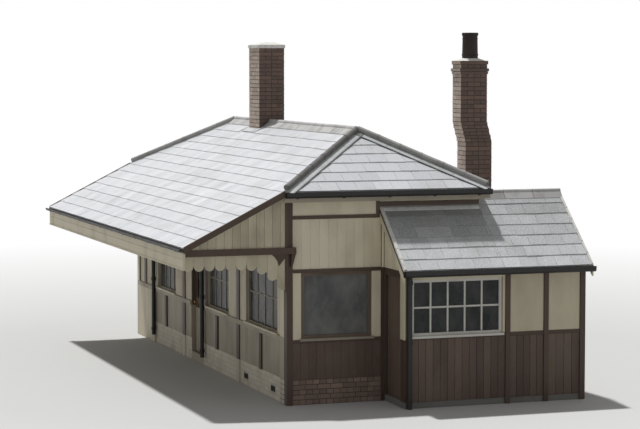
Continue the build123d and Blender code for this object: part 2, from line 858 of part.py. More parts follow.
with BuildPart() as chimney_caps:
    block(stack_x0 - cap_out, stack_x1 + cap_out, stack_y0 - cap_out, stack_y1 + cap_out,
          stack_top, stack_top + cap_height)
    block(stack_x - flue / 2, stack_x + flue / 2, stack_y - flue / 2, stack_y + flue / 2,
          stack_top, stack_top + cap_height, mode=Mode.SUBTRACT)
    block(rear_x0 - cap_out, rear_x1 + cap_out, rear_y0 - rear_stack_shift - cap_out,
          rear_y1 - rear_stack_shift + cap_out, rear_stack_top, rear_stack_top + cap_height)
chimney_caps.part.label = "chimney_caps"
export_step(chimney_caps.part, "parts/chimney_caps.step")

with BuildPart() as chimney_pot:
    with BuildSketch(Plane.XY.offset(rear_stack_top + cap_height)):
        with Locations((rear_stack_x, rear_top_y)):
            Circle(pot_radius)
    with BuildSketch(Plane.XY.offset(rear_stack_top + cap_height + pot_height)):
        with Locations((rear_stack_x, rear_top_y)):
            Circle(pot_top_radius)
    loft()
    with Locations((rear_stack_x, rear_top_y, rear_stack_top + cap_height + pot_height / 2)):
        Cylinder(pot_top_radius - pot_wall, pot_height, mode=Mode.SUBTRACT)
chimney_pot.part.label = "chimney_pot"
export_step(chimney_pot.part, "parts/chimney_pot.step")

# Annex floor, which its walls stand on
with BuildPart() as annex_floor:
    block(end_x, annex_x, 0, annex_width, 0, annex_floor_top)
    block(annex_back, end_x, side_y, annex_width, 0, annex_floor_top)
annex_floor.part.label = "annex_floor"
export_step(annex_floor.part, "parts/annex_floor.step")

# Annex walls, trimmed to the annex roof
with BuildPart() as annex_front_wall:
    block(annex_inner_x, annex_x, 0, annex_width, annex_floor_top, sky)
    add(under_annex.part, mode=Mode.INTERSECT)
    block(annex_inner_x, annex_x, annex_window_near, annex_window_near + annex_window_width,
          annex_sill_z, annex_head_z, mode=Mode.SUBTRACT)
annex_front_wall.part.label = "annex_front_wall"
export_step(annex_front_wall.part, "parts/annex_front_wall.step")

with BuildPart() as annex_side_wall:
    block(end_x, annex_jamb, 0, annex_wall, annex_floor_top, sky)
    block(annex_jamb + annex_door_width, annex_inner_x, 0, annex_wall, annex_floor_top, sky)
    add(under_annex.part, mode=Mode.INTERSECT)
annex_side_wall.part.label = "annex_side_wall"
export_step(annex_side_wall.part, "parts/annex_side_wall.step")

with BuildPart() as annex_wall_over_door:
    block(annex_jamb, annex_jamb + annex_door_width, 0, annex_wall, annex_door_head, sky)
    add(under_annex.part, mode=Mode.INTERSECT)
annex_wall_over_door.part.label = "annex_wall_over_door"
export_step(annex_wall_over_door.part, "parts/annex_wall_over_door.step")

with BuildPart() as annex_gable_wall:
    block(annex_back, annex_inner_x, annex_width - annex_wall, annex_width, annex_floor_top, sky)
    add(under_annex.part, mode=Mode.INTERSECT)
annex_gable_wall.part.label = "annex_gable_wall"
export_step(annex_gable_wall.part, "parts/annex_gable_wall.step")

with BuildPart() as annex_back_wall:
    block(annex_back, annex_back + annex_wall, side_y, rear_y0, annex_floor_top, sky)
    block(annex_back, annex_back + annex_wall, rear_y1, annex_width - annex_wall, annex_floor_top, sky)
    add(under_annex.part, mode=Mode.INTERSECT)
annex_back_wall.part.label = "annex_back_wall"
export_step(annex_back_wall.part, "parts/annex_back_wall.step")

# Annex posts on the front wall
annex_posts_y = (annex_window_near / 2, *annex_post_places, annex_width - annex_post_width / 2)
with BuildPart() as annex_posts:
    for middle in annex_posts_y:
        block(annex_x, annex_x + proud, middle - annex_post_width / 2, middle + annex_post_width / 2,
              0, annex_eave_z - gutter_height)
annex_posts.part.label = "annex_posts"
export_step(annex_posts.part, "parts/annex_posts.step")

# Annex window: five lights side by side
annex_light = (annex_window_width - annex_bar) / annex_lights - annex_bar
annex_frame_x1 = annex_x - frame_setback
annex_frame_x0 = annex_frame_x1 - annex_bar
with BuildPart() as annex_window_frame:
    block(annex_frame_x0, annex_frame_x1, annex_window_near, annex_window_near + annex_window_width,
          annex_sill_z, annex_head_z)
    for number in range(annex_lights):
        left = annex_window_near + annex_bar + number * (annex_light + annex_bar)
        block(annex_frame_x0, annex_frame_x1, left, left + annex_light, annex_sill_z + annex_bar,
              annex_head_z - annex_bar, mode=Mode.SUBTRACT)
annex_window_frame.part.label = "annex_window_frame"
export_step(annex_window_frame.part, "parts/annex_window_frame.step")

with BuildPart() as annex_window_glass:
    pane_x = (annex_frame_x0 + annex_frame_x1) / 2
    for number in range(annex_lights):
        left = annex_window_near + annex_bar + number * (annex_light + annex_bar)
        block(pane_x - glass / 2, pane_x + glass / 2, left, left + annex_light, annex_sill_z + annex_bar,
              annex_head_z - annex_bar)
annex_window_glass.part.label = "annex_window_glass"
export_step(annex_window_glass.part, "parts/annex_window_glass.step")

# Annex roof: the front slope runs up to the end wall and, behind it, on to a ridge
with BuildPart() as annex_front_slope:
    add(along_y([
        (annex_eave_x, annex_eave_z),
        (annex_ridge_x, annex_ridge_z),
        (annex_ridge_x, annex_ridge_z - annex_roof_depth),
        (annex_eave_x, annex_eave_z - annex_roof_depth),
    ], -annex_verge, annex_far_y))
    block(annex_ridge_x, end_x, -annex_verge, side_y, 0, sky, mode=Mode.SUBTRACT)
annex_front_slope.part.label = "annex_front_slope"
export_step(annex_front_slope.part, "parts/annex_front_slope.step")

with BuildPart() as annex_back_slope:
    add(along_y([
        (annex_back_eave_x, annex_back_eave_z),
        (annex_ridge_x, annex_ridge_z),
        (annex_ridge_x, annex_ridge_z - annex_roof_depth),
        (annex_back_eave_x, annex_back_eave_z - annex_roof_depth),
    ], side_y, annex_far_y))
    block(rear_x0, rear_x1, rear_y0, rear_y1, 0, sky, mode=Mode.SUBTRACT)
annex_back_slope.part.label = "annex_back_slope"
export_step(annex_back_slope.part, "parts/annex_back_slope.step")

with BuildPart() as annex_ridge_tiles:
    add(along_y([
        (annex_ridge_x - annex_ridge_wing, annex_roof_z(annex_ridge_x - annex_ridge_wing)),
        (annex_ridge_x, annex_ridge_z),
        (annex_ridge_x + annex_ridge_wing, annex_roof_z(annex_ridge_x + annex_ridge_wing)),
        (annex_ridge_x + annex_ridge_wing, annex_roof_z(annex_ridge_x + annex_ridge_wing) + ridge_tile),
        (annex_ridge_x, annex_ridge_z + ridge_tile),
        (annex_ridge_x - annex_ridge_wing, annex_roof_z(annex_ridge_x - annex_ridge_wing) + ridge_tile),
    ], side_y, annex_far_y))
annex_ridge_tiles.part.label = "annex_ridge_tiles"
export_step(annex_ridge_tiles.part, "parts/annex_ridge_tiles.step")

# Flashing where the annex roof meets the end wall
with BuildPart() as annex_flashing:
    add(along_y([
        (end_x, wall_line_z),
        (end_x, wall_line_z + flashing_height),
        (end_x + flashing_out, annex_roof_z(end_x + flashing_out) + flashing_edge),
        (end_x + flashing_out, annex_roof_z(end_x + flashing_out)),
    ], -annex_verge, side_y))
annex_flashing.part.label = "annex_flashing"
export_step(annex_flashing.part, "parts/annex_flashing.step")
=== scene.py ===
import json
from math import ceil, cos, pi, radians, sin, tau
from random import Random

import bmesh
import bpy
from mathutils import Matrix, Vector


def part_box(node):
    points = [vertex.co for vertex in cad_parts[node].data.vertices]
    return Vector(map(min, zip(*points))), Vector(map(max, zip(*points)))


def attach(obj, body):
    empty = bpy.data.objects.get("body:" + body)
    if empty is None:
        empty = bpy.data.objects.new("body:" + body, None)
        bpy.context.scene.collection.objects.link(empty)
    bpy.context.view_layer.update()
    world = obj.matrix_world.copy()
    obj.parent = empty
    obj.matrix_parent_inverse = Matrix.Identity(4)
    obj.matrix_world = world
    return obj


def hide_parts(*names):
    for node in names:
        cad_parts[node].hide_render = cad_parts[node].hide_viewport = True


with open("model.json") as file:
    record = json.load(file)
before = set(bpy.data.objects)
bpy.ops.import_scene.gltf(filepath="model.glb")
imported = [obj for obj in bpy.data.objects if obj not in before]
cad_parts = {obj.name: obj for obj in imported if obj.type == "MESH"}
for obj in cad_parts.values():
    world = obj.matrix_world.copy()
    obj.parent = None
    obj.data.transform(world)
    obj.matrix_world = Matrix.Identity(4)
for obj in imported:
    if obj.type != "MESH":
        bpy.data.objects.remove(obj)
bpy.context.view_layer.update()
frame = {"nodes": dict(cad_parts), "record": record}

# The looks of a small timber railway station building: slates, boards, bricks, glazing bars and
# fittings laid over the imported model. Sizes are in metres. X runs along the building, -Y faces the
# platform and Z is up.

nodes = frame["nodes"]
X, Y, Z = Vector((1, 0, 0)), Vector((0, 1, 0)), Vector((0, 0, 1))


# Places read from the frame
def islands(node):
    """The (lowest, highest) corners of each separate solid of a CAD node."""
    shape = bmesh.new()
    shape.from_mesh(nodes[node].data)
    bmesh.ops.remove_doubles(shape, verts=shape.verts, dist=1e-5)
    unseen = set(shape.verts)
    found = []
    while unseen:
        stack = [unseen.pop()]
        group = []
        while stack:
            vert = stack.pop()
            group.append(vert.co.copy())
            for edge in vert.link_edges:
                other = edge.other_vert(vert)
                if other in unseen:
                    unseen.remove(other)
                    stack.append(other)
        found.append((Vector(min(c[i] for c in group) for i in range(3)),
                      Vector(max(c[i] for c in group) for i in range(3))))
    shape.free()
    return sorted(found, key=lambda pair: tuple(pair[0]))


end_x, side_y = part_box("rear_wall")[1].xy
base_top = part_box("base_rear")[1].z
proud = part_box("wall_rails")[1].x - end_x
front_low, front_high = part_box("front_roof_slope")
hip_low, hip_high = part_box("near_hip_slope")
rear_foot_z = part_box("rear_roof_slope")[0].z
eave_x, canopy_y, ridge_z = front_high.x, -front_low.y, front_high.z
ridge_x, eave_y = hip_low.x, hip_high.y
main_slope = (rear_foot_z - front_low.z) / (canopy_y - eave_y)
eave_z = ridge_z - eave_y * main_slope
hip_slope = (ridge_z - eave_z) / (eave_x - ridge_x)
roof_depth = eave_z - rear_foot_z

annex_low, annex_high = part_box("annex_front_slope")
annex_wall_low, annex_wall_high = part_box("annex_front_wall")
annex_inner_x, annex_floor_z = annex_wall_low.x, annex_wall_low.z
annex_x, annex_y = annex_wall_high.xy
annex_eave_x, annex_ridge_x, annex_ridge_z = annex_high.x, annex_low.x, annex_high.z
annex_slope = (annex_wall_high.z - annex_low.z) / (annex_eave_x - annex_inner_x)
annex_depth = annex_ridge_z - (annex_eave_x - annex_ridge_x) * annex_slope - annex_low.z
annex_verge, annex_far_y = -annex_low.y, annex_high.y
annex_back_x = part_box("annex_back_wall")[0].x
annex_back_eave_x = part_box("annex_back_slope")[0].x


def roof_z(y):
    """Height of the main roof's top face over a point of its front or rear slope."""
    return ridge_z - abs(y) * main_slope


def annex_roof_z(x):
    """Height of the annex roof's top face."""
    return annex_ridge_z - abs(x - annex_ridge_x) * annex_slope


def under_annex(x):
    """Where boards end under the annex roof."""
    return annex_roof_z(x) - annex_depth - 0.004


# Materials
class Graph:
    """The nodes of a material or of the world."""

    def __init__(self, owner):
        owner.use_nodes = True
        self.owner, self.tree = owner, owner.node_tree
        self.shader = self.tree.nodes.get("Principled BSDF")

    def put(self, socket, value):
        """Sets a socket to a value, or links it to another socket."""
        if isinstance(value, bpy.types.NodeSocket):
            self.tree.links.new(value, socket)
        else:
            socket.default_value = value

    def node(self, kind, inputs, output=0, **settings):
        """One output of a new node, whose inputs and outputs are found by name or number."""
        node = self.tree.nodes.new("ShaderNode" + kind)
        for name, value in settings.items():
            setattr(node, name, value)
        for name, value in inputs.items():
            self.put(node.inputs[name], value)
        return node.outputs[output]

    def noise(self, stretch, scale, detail):
        """Noise over the object's own coordinates, stretched along its axes."""
        place = self.node("TexCoord", {}, "Object")
        place = self.node("Mapping", {"Vector": place, "Scale": stretch})
        return self.node("TexNoise", {"Vector": place, "Scale": scale, "Detail": detail}, "Fac")

    def spread(self, source, low, high, to_low=0.0, to_high=1.0):
        """The source's range from low to high, spread over another range."""
        return self.node("MapRange", {"Value": source, "From Min": low, "From Max": high,
                                      "To Min": to_low, "To Max": to_high}, "Result")

    def mixed(self, factor, first, second):
        """A colour between two others. Each may be a colour or a socket. The Mix node has several
        sockets of one name, so those for colours are found by number."""
        first, second = ((*c, 1) if isinstance(c, tuple) else c for c in (first, second))
        return self.node("Mix", {0: factor, 6: first, 7: second}, 2, data_type="RGBA")

    def paint(self, **values):
        """Sets inputs of the main shader. An underscore in a name stands for a space."""
        for name, value in values.items():
            self.put(self.shader.inputs[name.replace("_", " ")], value)


finishes = {}


def surface(name, grain, pale, deep, stain, roughness, bump, stain_amount=0.6, stain_scale=1.3,
            grain_scale=14.0, specular=0.3, metallic=0.0):
    """A finish between a pale and a deep colour by each piece's own tone and by fine grain, with
    stains over it. Colours are in thousandths. grain is the stretch of the fine noise along X, Y
    and Z."""
    pale, deep, stain = (tuple(part / 1000 for part in colour) for colour in (pale, deep, stain))
    graph = Graph(bpy.data.materials.new(name))
    tone = graph.node("Attribute", {}, "Fac", attribute_name="tone")
    fine = graph.noise(grain, grain_scale, 6)
    broad = graph.noise((1, 1, 0.45), stain_scale, 5)
    speckle = graph.spread(fine, 0.3, 0.7, -0.22, 0.22)
    total = graph.node("Math", {0: tone, 1: speckle}, operation="ADD", use_clamp=True)
    amount = graph.spread(broad, 0.48, 0.75, 0.0, stain_amount)
    relief = graph.node("Bump", {"Strength": bump, "Distance": 0.004, "Height": fine})
    graph.paint(Base_Color=graph.mixed(amount, graph.mixed(total, pale, deep), stain),
                Roughness=graph.spread(broad, 0.3, 0.7, roughness - 0.08, roughness + 0.08),
                Normal=relief, Metallic=metallic, Specular_IOR_Level=specular)
    finishes[name] = graph.owner


upright_grain, level_grain, even_grain = (7, 7, 0.5), (1, 7, 7), (3, 3, 3)
# Timber: pale, deep and stain colours in thousandths, roughness, bump, amount and scale of the stains
for name, *values in (
        ("cream_paint", (730, 665, 505), (620, 555, 410), (340, 295, 215), 0.55, 0.35, 0.45, 2.0),
        # A paler copy of the cream paint: painted light that lifts the shade on the boards where it is used
        ("bright_cream_paint", (860, 790, 620), (750, 680, 520), (420, 370, 280), 0.55, 0.35, 0.4, 2.0),
        ("worn_cream_paint", (660, 600, 450), (500, 450, 335), (250, 215, 160), 0.6, 0.45, 0.6, 2.6),
        ("stone_paint", (490, 435, 340), (400, 355, 280), (220, 195, 155), 0.6, 0.4, 0.6, 1.8),
        ("brown_paint", (85, 55, 41), (55, 36, 27), (125, 100, 82), 0.5, 0.35, 0.4, 2.5),
        ("dado_paint", (165, 115, 90), (85, 58, 46), (200, 165, 140), 0.58, 0.45, 0.5, 2.2),
        ("frame_paint", (170, 130, 95), (110, 82, 60), (70, 60, 50), 0.5, 0.3),
        ("sash_paint", (360, 320, 255), (280, 250, 195), (160, 140, 110), 0.5, 0.3),
        ("white_paint", (720, 700, 650), (620, 600, 540), (400, 380, 330), 0.45, 0.25, 0.4)):
    surface(name, upright_grain, *values)
for name, *values in (
        ("rafter_paint", (500, 450, 340), (400, 360, 270), (220, 190, 150), 0.6, 0.4),
        ("floor_wood", (280, 210, 150), (190, 140, 100), (120, 100, 80), 0.7, 0.4)):
    surface(name, level_grain, *values)
# The same for the rest, then the scale of the grain, the specular level and the share of metal
for name, *values in (
        ("slate", (720, 730, 750), (500, 510, 540), (420, 410, 380), 0.5, 0.5, 0.5, 2.2, 14.0, 0.5),
        # A darker slate that paints shade on the annex roof
        ("mossy_slate", (720, 730, 750), (270, 280, 275), (360, 360, 330), 0.55, 0.6, 0.45, 2.2, 14.0, 0.4),
        ("sooty_brick", (225, 148, 118), (145, 105, 89), (90, 78, 70), 0.85, 0.8, 0.55, 1.6, 22.0),
        # A paler copy of the chimney brick: painted sunlight on the chimneys' platform side
        ("weathered_brick", (640, 540, 455), (460, 370, 310), (220, 190, 170), 0.85, 0.8, 0.45, 1.8, 22.0),
        ("base_brick", (370, 265, 215), (235, 175, 150), (150, 130, 115), 0.85, 0.8, 0.6, 2.6, 22.0),
        ("painted_brick", (860, 800, 680), (750, 690, 580), (440, 400, 330), 0.75, 0.7, 0.6, 2.6, 22.0),
        ("painted_mortar", (720, 665, 560), (630, 580, 485), (370, 335, 280), 0.85, 0.6, 0.6, 2.6, 30.0),
        ("mortar", (300, 280, 250), (200, 185, 165), (100, 95, 85), 0.9, 0.8, 0.6, 1.3, 30.0),
        ("dark_mortar", (85, 75, 66), (60, 53, 47), (45, 40, 36), 0.9, 0.8, 0.6, 1.3, 30.0),
        ("cement_fillet", (840, 820, 770), (720, 700, 660), (420, 400, 370), 0.85, 0.6, 0.6, 5.0),
        ("ridge_clay", (600, 595, 580), (450, 445, 435), (280, 270, 250), 0.7, 0.6, 0.6, 3.0),
        # Dark clay along the hips: painted shade
        ("hip_clay", (200, 195, 190), (120, 116, 113), (90, 86, 80), 0.65, 0.5, 0.6, 3.0),
        ("grey_clay", (420, 415, 405), (320, 315, 305), (190, 185, 175), 0.65, 0.5, 0.6, 3.0),
        ("pot_clay", (45, 34, 29), (26, 21, 19), (18, 16, 15), 0.8, 0.6, 0.6, 5.0),
        ("sheet_lead", (600, 610, 620), (460, 470, 480), (300, 300, 300), 0.5, 0.3, 0.6, 4.0, 14.0, 0.5),
        ("pale_lead", (860, 865, 870), (720, 725, 730), (450, 450, 450), 0.5, 0.3, 0.6, 4.0),
        ("black_iron", (24, 24, 24), (15, 15, 15), (60, 48, 38), 0.5, 0.3, 0.35, 4.0),
        ("worn_brass", (420, 290, 110), (300, 200, 80), (120, 90, 50), 0.35, 0.2, 0.6, 1.3, 14.0, 0.3, 0.9),
        ("concrete", (240, 235, 220), (180, 175, 165), (120, 115, 105), 0.9, 0.7),
        ("inside_plaster", (440, 400, 330), (380, 340, 280), (240, 210, 170), 0.85, 0.3)):
    surface(name, even_grain, *values)

# Dusty old glass: dark and glossy, with faint mottling of dirt over it. The paler grey glass of the end
# windows paints the reflections on panes that face the camera
for name, clean, dusty in (("dusty_glass", (0.04, 0.044, 0.045), (0.088, 0.09, 0.086)),
                           ("dark_glass", (0.024, 0.027, 0.028), (0.066, 0.068, 0.066)),
                           ("grey_glass", (0.12, 0.125, 0.125), (0.24, 0.242, 0.235))):
    graph = Graph(bpy.data.materials.new(name))
    dust = graph.noise((1, 1, 0.6), 4.0, 8)
    graph.paint(Base_Color=graph.mixed(graph.spread(dust, 0.35, 0.72), clean, dusty),
                Roughness=graph.spread(dust, 0.35, 0.7, 0.22, 0.40),
                Alpha=graph.spread(dust, 0.35, 0.72, 0.86, 0.97), Specular_IOR_Level=0.2)
    finishes[name] = graph.owner

slot_finishes = {
    "base_brick": "dark_mortar", "floor_boards": "floor_wood", "annex_floor": "concrete",
    "wall_boards": "inside_plaster", "dark_trim": "brown_paint", "window_frames": "frame_paint",
    "annex_window_frame": "white_paint", "window_glass": "dusty_glass", "door_paint": "brown_paint",
    "hinge_iron": "black_iron", "slates": "slate", "ridge_clay": "ridge_clay",
    "light_trim": "cream_paint", "rafter_wood": "rafter_paint", "gutter_iron": "black_iron",
    "chimney_brick": "dark_mortar", "cap_stone": "sooty_brick", "chimney_pot": "pot_clay",
    "flashing_lead": "sheet_lead",
}
node_finishes = {"hip_rolls": "hip_clay", "valances": "worn_cream_paint",
                 "canopy_end_boards": "worn_cream_paint", "end_window_glass": "grey_glass"}
for subpart in frame["record"]["subparts"]:
    node, slot = subpart["node"], subpart["material_slot"]
    skin = nodes[node].data.materials
    skin.clear()
    skin.append(finishes[node_finishes.get(node, slot_finishes[slot])])

# Sizes of what is laid over the model
slate_width, slate_gauge, annex_gauge = 0.305, 0.2625, 0.237
slate_lap, slate_gap, slate_lift, slate_foot, slate_head = 0.03, 0.0018, 0.015, 0.0005, 0.003
shortest_slate, narrowest_slate = 0.05, 0.04
shortest_run, shortest_board, least_board_side = 0.02, 0.03, 0.004
brick_length, brick_course, brick_joint, brick_proud, brick_edge = 0.225, 0.075, 0.010, 0.006, 0.0025
board_width, board_depth, board_gap, board_edge = 0.112, 0.013, 0.004, 0.0035
board_inset, dado_width, annex_board_width = 0.002, 0.14, 0.125
trim_edge = 0.003
# A width so large that one board fills its run
one_board = 3.0


def spans(low, high, blocked):
    """What is left of a run after the blocked runs are taken out of it."""
    parts = []
    place = low
    for a, b in sorted(blocked):
        if a > place:
            parts.append((place, min(a, high)))
        place = max(place, b)
    if place < high:
        parts.append((place, high))
    return [(a, b) for a, b in parts if b - a > shortest_run]


def widened(runs, spare):
    """Runs made longer at both ends."""
    return [(a - spare, b + spare) for a, b in runs]


def evenly(start, end, count):
    """Places at even steps from start to end."""
    return [start + i * (end - start) / (count - 1) for i in range(count)]


class Face:
    """A flat working plane: a place on it is given by u, v and the height n above it."""

    def __init__(self, origin, u, v):
        self.origin, self.u, self.v = Vector(origin), Vector(u).normalized(), Vector(v).normalized()
        self.n = self.u.cross(self.v)

    def at(self, u, v, n=0.0):
        return self.origin + self.u * u + self.v * v + self.n * n

    def run(self, box):
        """Where a box, given by its two corners, starts and ends along u."""
        return tuple(sorted((corner - self.origin).dot(self.u) for corner in box))

    def up(self, level):
        """How far up a sloping plane a level distance reaches."""
        return level / self.v.xy.length


class Pile:
    """Small solids collected into one piece, which is made where its with block ends. Each solid
    has its own tone, from 0 for the finish's pale colour to 1 for its deep one. It is drawn at random
    where none is given."""

    def __init__(self, name, seed, finish, slot, body="building", replaced=None):
        self.name, self.finish, self.slot, self.body, self.replaced = name, finish, slot, body, replaced
        self.mesh = bmesh.new()
        self.tone = self.mesh.faces.layers.float.new("tone")
        self.random = Random(seed)

    def __enter__(self):
        return self

    def __exit__(self, *problem):
        """Ends the piece: its mesh, finish, body and the node that it replaces."""
        bmesh.ops.recalc_face_normals(self.mesh, faces=self.mesh.faces[:])
        data = bpy.data.meshes.new(self.name)
        self.mesh.to_mesh(data)
        self.mesh.free()
        data.materials.append(finishes[self.finish])
        piece = bpy.data.objects.new(self.name, data)
        bpy.context.scene.collection.objects.link(piece)
        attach(piece, self.body)
        if self.replaced:
            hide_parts(self.replaced)

    def skin(self, profiles, tone=None, looped=False):
        """A closed skin over a run of profiles, each a ring of points. The run may end where it starts."""
        verts = [[self.mesh.verts.new(point) for point in ring] for ring in profiles]
        ends = [] if looped else [verts[-1], verts[0][::-1]]
        faces = [self.mesh.faces.new(ring) for ring in ends]
        count = len(verts[0])
        for low, high in zip(verts, verts[1:] + (verts[:1] if looped else [])):
            for i in range(count):
                j = (i + 1) % count
                faces.append(self.mesh.faces.new((low[i], low[j], high[j], high[i])))
        tone = self.random.random() if tone is None else tone
        for face in faces:
            face[self.tone] = tone

    def solid(self, foot, top, tone=None, chamfer=0.0):
        """A block between a foot ring and a top ring of points, its top edge chamfered."""
        rings = [foot, top]
        if chamfer:
            middle = sum(top, Vector()) / len(top)
            down = (sum(foot, Vector()) / len(foot) - middle).normalized()
            inset = []
            for i, point in enumerate(top):
                before = (top[i - 1] - point).normalized()
                after = (top[(i + 1) % len(top)] - point).normalized()
                inset.append(point + (before + after) * chamfer)
            rings = [foot, [point + down * chamfer for point in top], inset]
        self.skin(rings, tone)

    def plate(self, face, u0, u1, v0, v1, out, tone=None, chamfer=0.0, back=0.0, far_v1=None):
        """A board on a working plane, from the height back to the height out. Its top edge may rise
        or fall to far_v1 at u1."""
        ring = ((u0, v0), (u1, v0), (u1, v1 if far_v1 is None else far_v1), (u0, v1))
        self.solid([face.at(u, v, back) for u, v in ring], [face.at(u, v, out) for u, v in ring],
                   tone, chamfer)

    def plates(self, face, runs, v0, v1, out, tone=None, chamfer=0.0, inset=0.0):
        """A plate over each run along a working plane."""
        for a, b in runs:
            self.plate(face, a + inset, b - inset, v0, v1, out, tone, chamfer)

    def boards(self, face, runs, v0, v1, width=board_width, depth=board_depth, gap=board_gap,
               edge=board_edge, tones=(0.0, 1.0), inset=board_inset, top=None):
        """Upright boards over runs of a wall. top(u) gives a sloping upper edge, and otherwise it
        is v1."""
        for start, end in widened(runs, -inset):
            count = max(1, round((end - start) / width))
            pitch = (end - start) / count
            for number in range(count):
                left = start + number * pitch + gap / 2
                right = start + (number + 1) * pitch - gap / 2
                heights = [min(v1, top(u)) if top else v1 for u in (left, right)]
                if max(heights) - v0 < shortest_board:
                    continue
                near_top, far_top = (max(v0 + least_board_side, height) for height in heights)
                out = depth + self.random.uniform(-0.001, 0.001)
                self.plate(face, left, right, v0, near_top, out, self.random.uniform(*tones), edge,
                           far_v1=far_top)

    def bricks(self, face, u0, u1, v0, v1, holes=()):
        """Bricks over a rectangle of a wall, in alternate courses of long and short faces."""
        courses = max(1, round((v1 - v0) / brick_course))
        height = (v1 - v0) / courses
        half_joint = brick_joint / 2
        for course in range(courses):
            low = v0 + course * height + half_joint
            high = v0 + (course + 1) * height - half_joint
            open_runs = [(h[0], h[1]) for h in holes if low < h[3] and high > h[2]]
            count = max(1, round((u1 - u0) / (brick_length if course % 2 else brick_length / 2)))
            width = (u1 - u0) / count
            for number in range(count):
                left = u0 + number * width + (half_joint if number else 0.0)
                right = u0 + (number + 1) * width - (half_joint if number < count - 1 else 0.0)
                out = brick_proud + self.random.uniform(-0.0015, 0.0015)
                for a, b in spans(left, right, open_runs):
                    self.plate(face, a, b, low, high, out, None, brick_edge, -0.001)

    def slice(self, outline, x0, x1, tone=None, chamfer=0.0):
        """A solid between two places along X, with an outline of y and z points."""
        self.solid([Vector((x0, y, z)) for y, z in outline], [Vector((x1, y, z)) for y, z in outline],
                   tone, chamfer)

    def slab(self, box, foot, top, out, tone=None, chamfer=0.0, top_out=None):
        """A level block round a box, standing out from its sides. It tapers to top_out."""
        low, high = box
        rings = []
        for z, d in ((foot, out), (top, out if top_out is None else top_out)):
            rings.append([Vector((low.x - d, low.y - d, z)), Vector((high.x + d, low.y - d, z)),
                          Vector((high.x + d, high.y + d, z)), Vector((low.x - d, high.y + d, z))])
        self.solid(*rings, tone, chamfer)

    def tube(self, start, end, radius, sides, tone=None, end_radius=None):
        """A round bar between two points, tapered if it has an end radius."""
        run = (end - start).normalized()
        across = run.orthogonal().normalized()
        other = run.cross(across)
        turns = [tau * i / sides for i in range(sides)]
        self.solid(*([place + (across * cos(a) + other * sin(a)) * r for a in turns]
                     for place, r in ((start, radius), (end, end_radius or radius))), tone)

    def ring(self, middle, outline, sides=28, tone=0.5):
        """A moulding turned about an upright line: outline is (radius, height) points."""
        turns = [tau * i / sides for i in range(sides)]
        self.skin([[Vector((middle.x + r * cos(turn), middle.y + r * sin(turn), z)) for r, z in outline]
                   for turn in turns], tone, looped=True)

    def cut(self, point, normal):
        """Takes away what lies beyond a plane, on the side that its normal points to."""
        bmesh.ops.bisect_plane(self.mesh, geom=self.mesh.verts[:] + self.mesh.edges[:] + self.mesh.faces[:],
                               plane_co=point, plane_no=normal, clear_outer=True)
        open_edges = [edge for edge in self.mesh.edges if edge.is_boundary]
        if open_edges:
            bmesh.ops.holes_fill(self.mesh, edges=open_edges, sides=0)


# Working planes of the walls, seen from outside, with u to the right and v upwards
front = Face((0, -side_y, 0), X, Z)
front_proud = Face((0, -side_y - proud, 0), X, Z)
rear = Face((0, side_y, 0), -X, Z)
near_end = Face((end_x, 0, 0), Y, Z)
near_end_proud = Face((end_x + proud, 0, 0), Y, Z)
far_end = Face((-end_x, 0, 0), -Y, Z)
annex_front = Face((annex_x, 0, 0), Y, Z)
annex_side = Face((0, 0, 0), X, Z)
annex_gable = Face((0, annex_y, 0), -X, Z)
annex_back = Face((annex_back_x, 0, 0), -Y, Z)

# Working planes of the roof's slopes, with v up the slope from its eave
front_plane = Face((0, -canopy_y, roof_z(canopy_y)), X, (0, 1, main_slope))
rear_plane = Face((0, eave_y, eave_z), -X, (0, -1, main_slope))
annex_plane = Face((annex_eave_x, 0, annex_roof_z(annex_eave_x)), Y, (-1, 0, annex_slope))
annex_back_plane = Face((annex_back_eave_x, 0, annex_roof_z(annex_back_eave_x)), -Y, (1, 0, annex_slope))
front_reach, rear_reach = front_plane.up(canopy_y), rear_plane.up(eave_y)
annex_reach = annex_plane.up(annex_eave_x - annex_ridge_x)
wall_reach = annex_plane.up(annex_eave_x - end_x)


# Slates
def slated(name, seed, face, u0, u1, reach, cuts=(), hole=None, gauge=slate_gauge, tone_middle=0.45,
           tone_spread=0.11, painted_shade_rise=0.0, finish="slate"):
    """Courses of slates up a slope from its eave, trimmed by cutting planes. hole is a rectangle in
    u and v that stays bare. The rise darkens the courses towards the top, as painted shade."""
    with Pile(name, seed, finish, "slates") as pile:
        jitter = pile.random.uniform
        courses = ceil(reach / gauge)
        for course in range(courses):
            tail = course * gauge
            head = min(tail + gauge + slate_lap, reach)
            if head - tail < shortest_slate:
                continue
            start = u0 - (slate_width / 2 if course % 2 else 0.0)
            course_tone = jitter(-0.06, 0.06) + painted_shade_rise * course / courses
            for number in range(ceil((u1 - start) / slate_width)):
                left = max(u0, start + number * slate_width)
                right = min(u1, start + (number + 1) * slate_width)
                if right - left < narrowest_slate:
                    continue
                if hole and left < hole[1] and right > hole[0] and tail < hole[3] and head > hole[2]:
                    continue
                # Each slate slips, lifts and turns a little
                slip = jitter(-0.005, 0.004) if course else 0.0
                lift = slate_lift + jitter(-0.0018, 0.0022)
                skew = jitter(-0.002, 0.002)
                left, right, foot = left + slate_gap, right - slate_gap, tail + slip
                outline = ((left, foot - skew), (right, foot + skew), (right, head), (left, head))
                lifts = (lift, lift + jitter(-0.001, 0.001), slate_head, slate_head)
                tone = min(1.0, max(0.0, tone_middle + course_tone + pile.random.gauss(0, tone_spread)))
                pile.solid([face.at(u, v, slate_foot) for u, v in outline],
                           [face.at(u, v, n) for (u, v), n in zip(outline, lifts)], tone)
        for point, normal in cuts:
            pile.cut(point, normal)


def hip_line(side_x, side_sign):
    """The foot and the top of a hip."""
    return Vector((side_x * eave_x, side_sign * eave_y, eave_z)), Vector((side_x * ridge_x, 0, ridge_z))


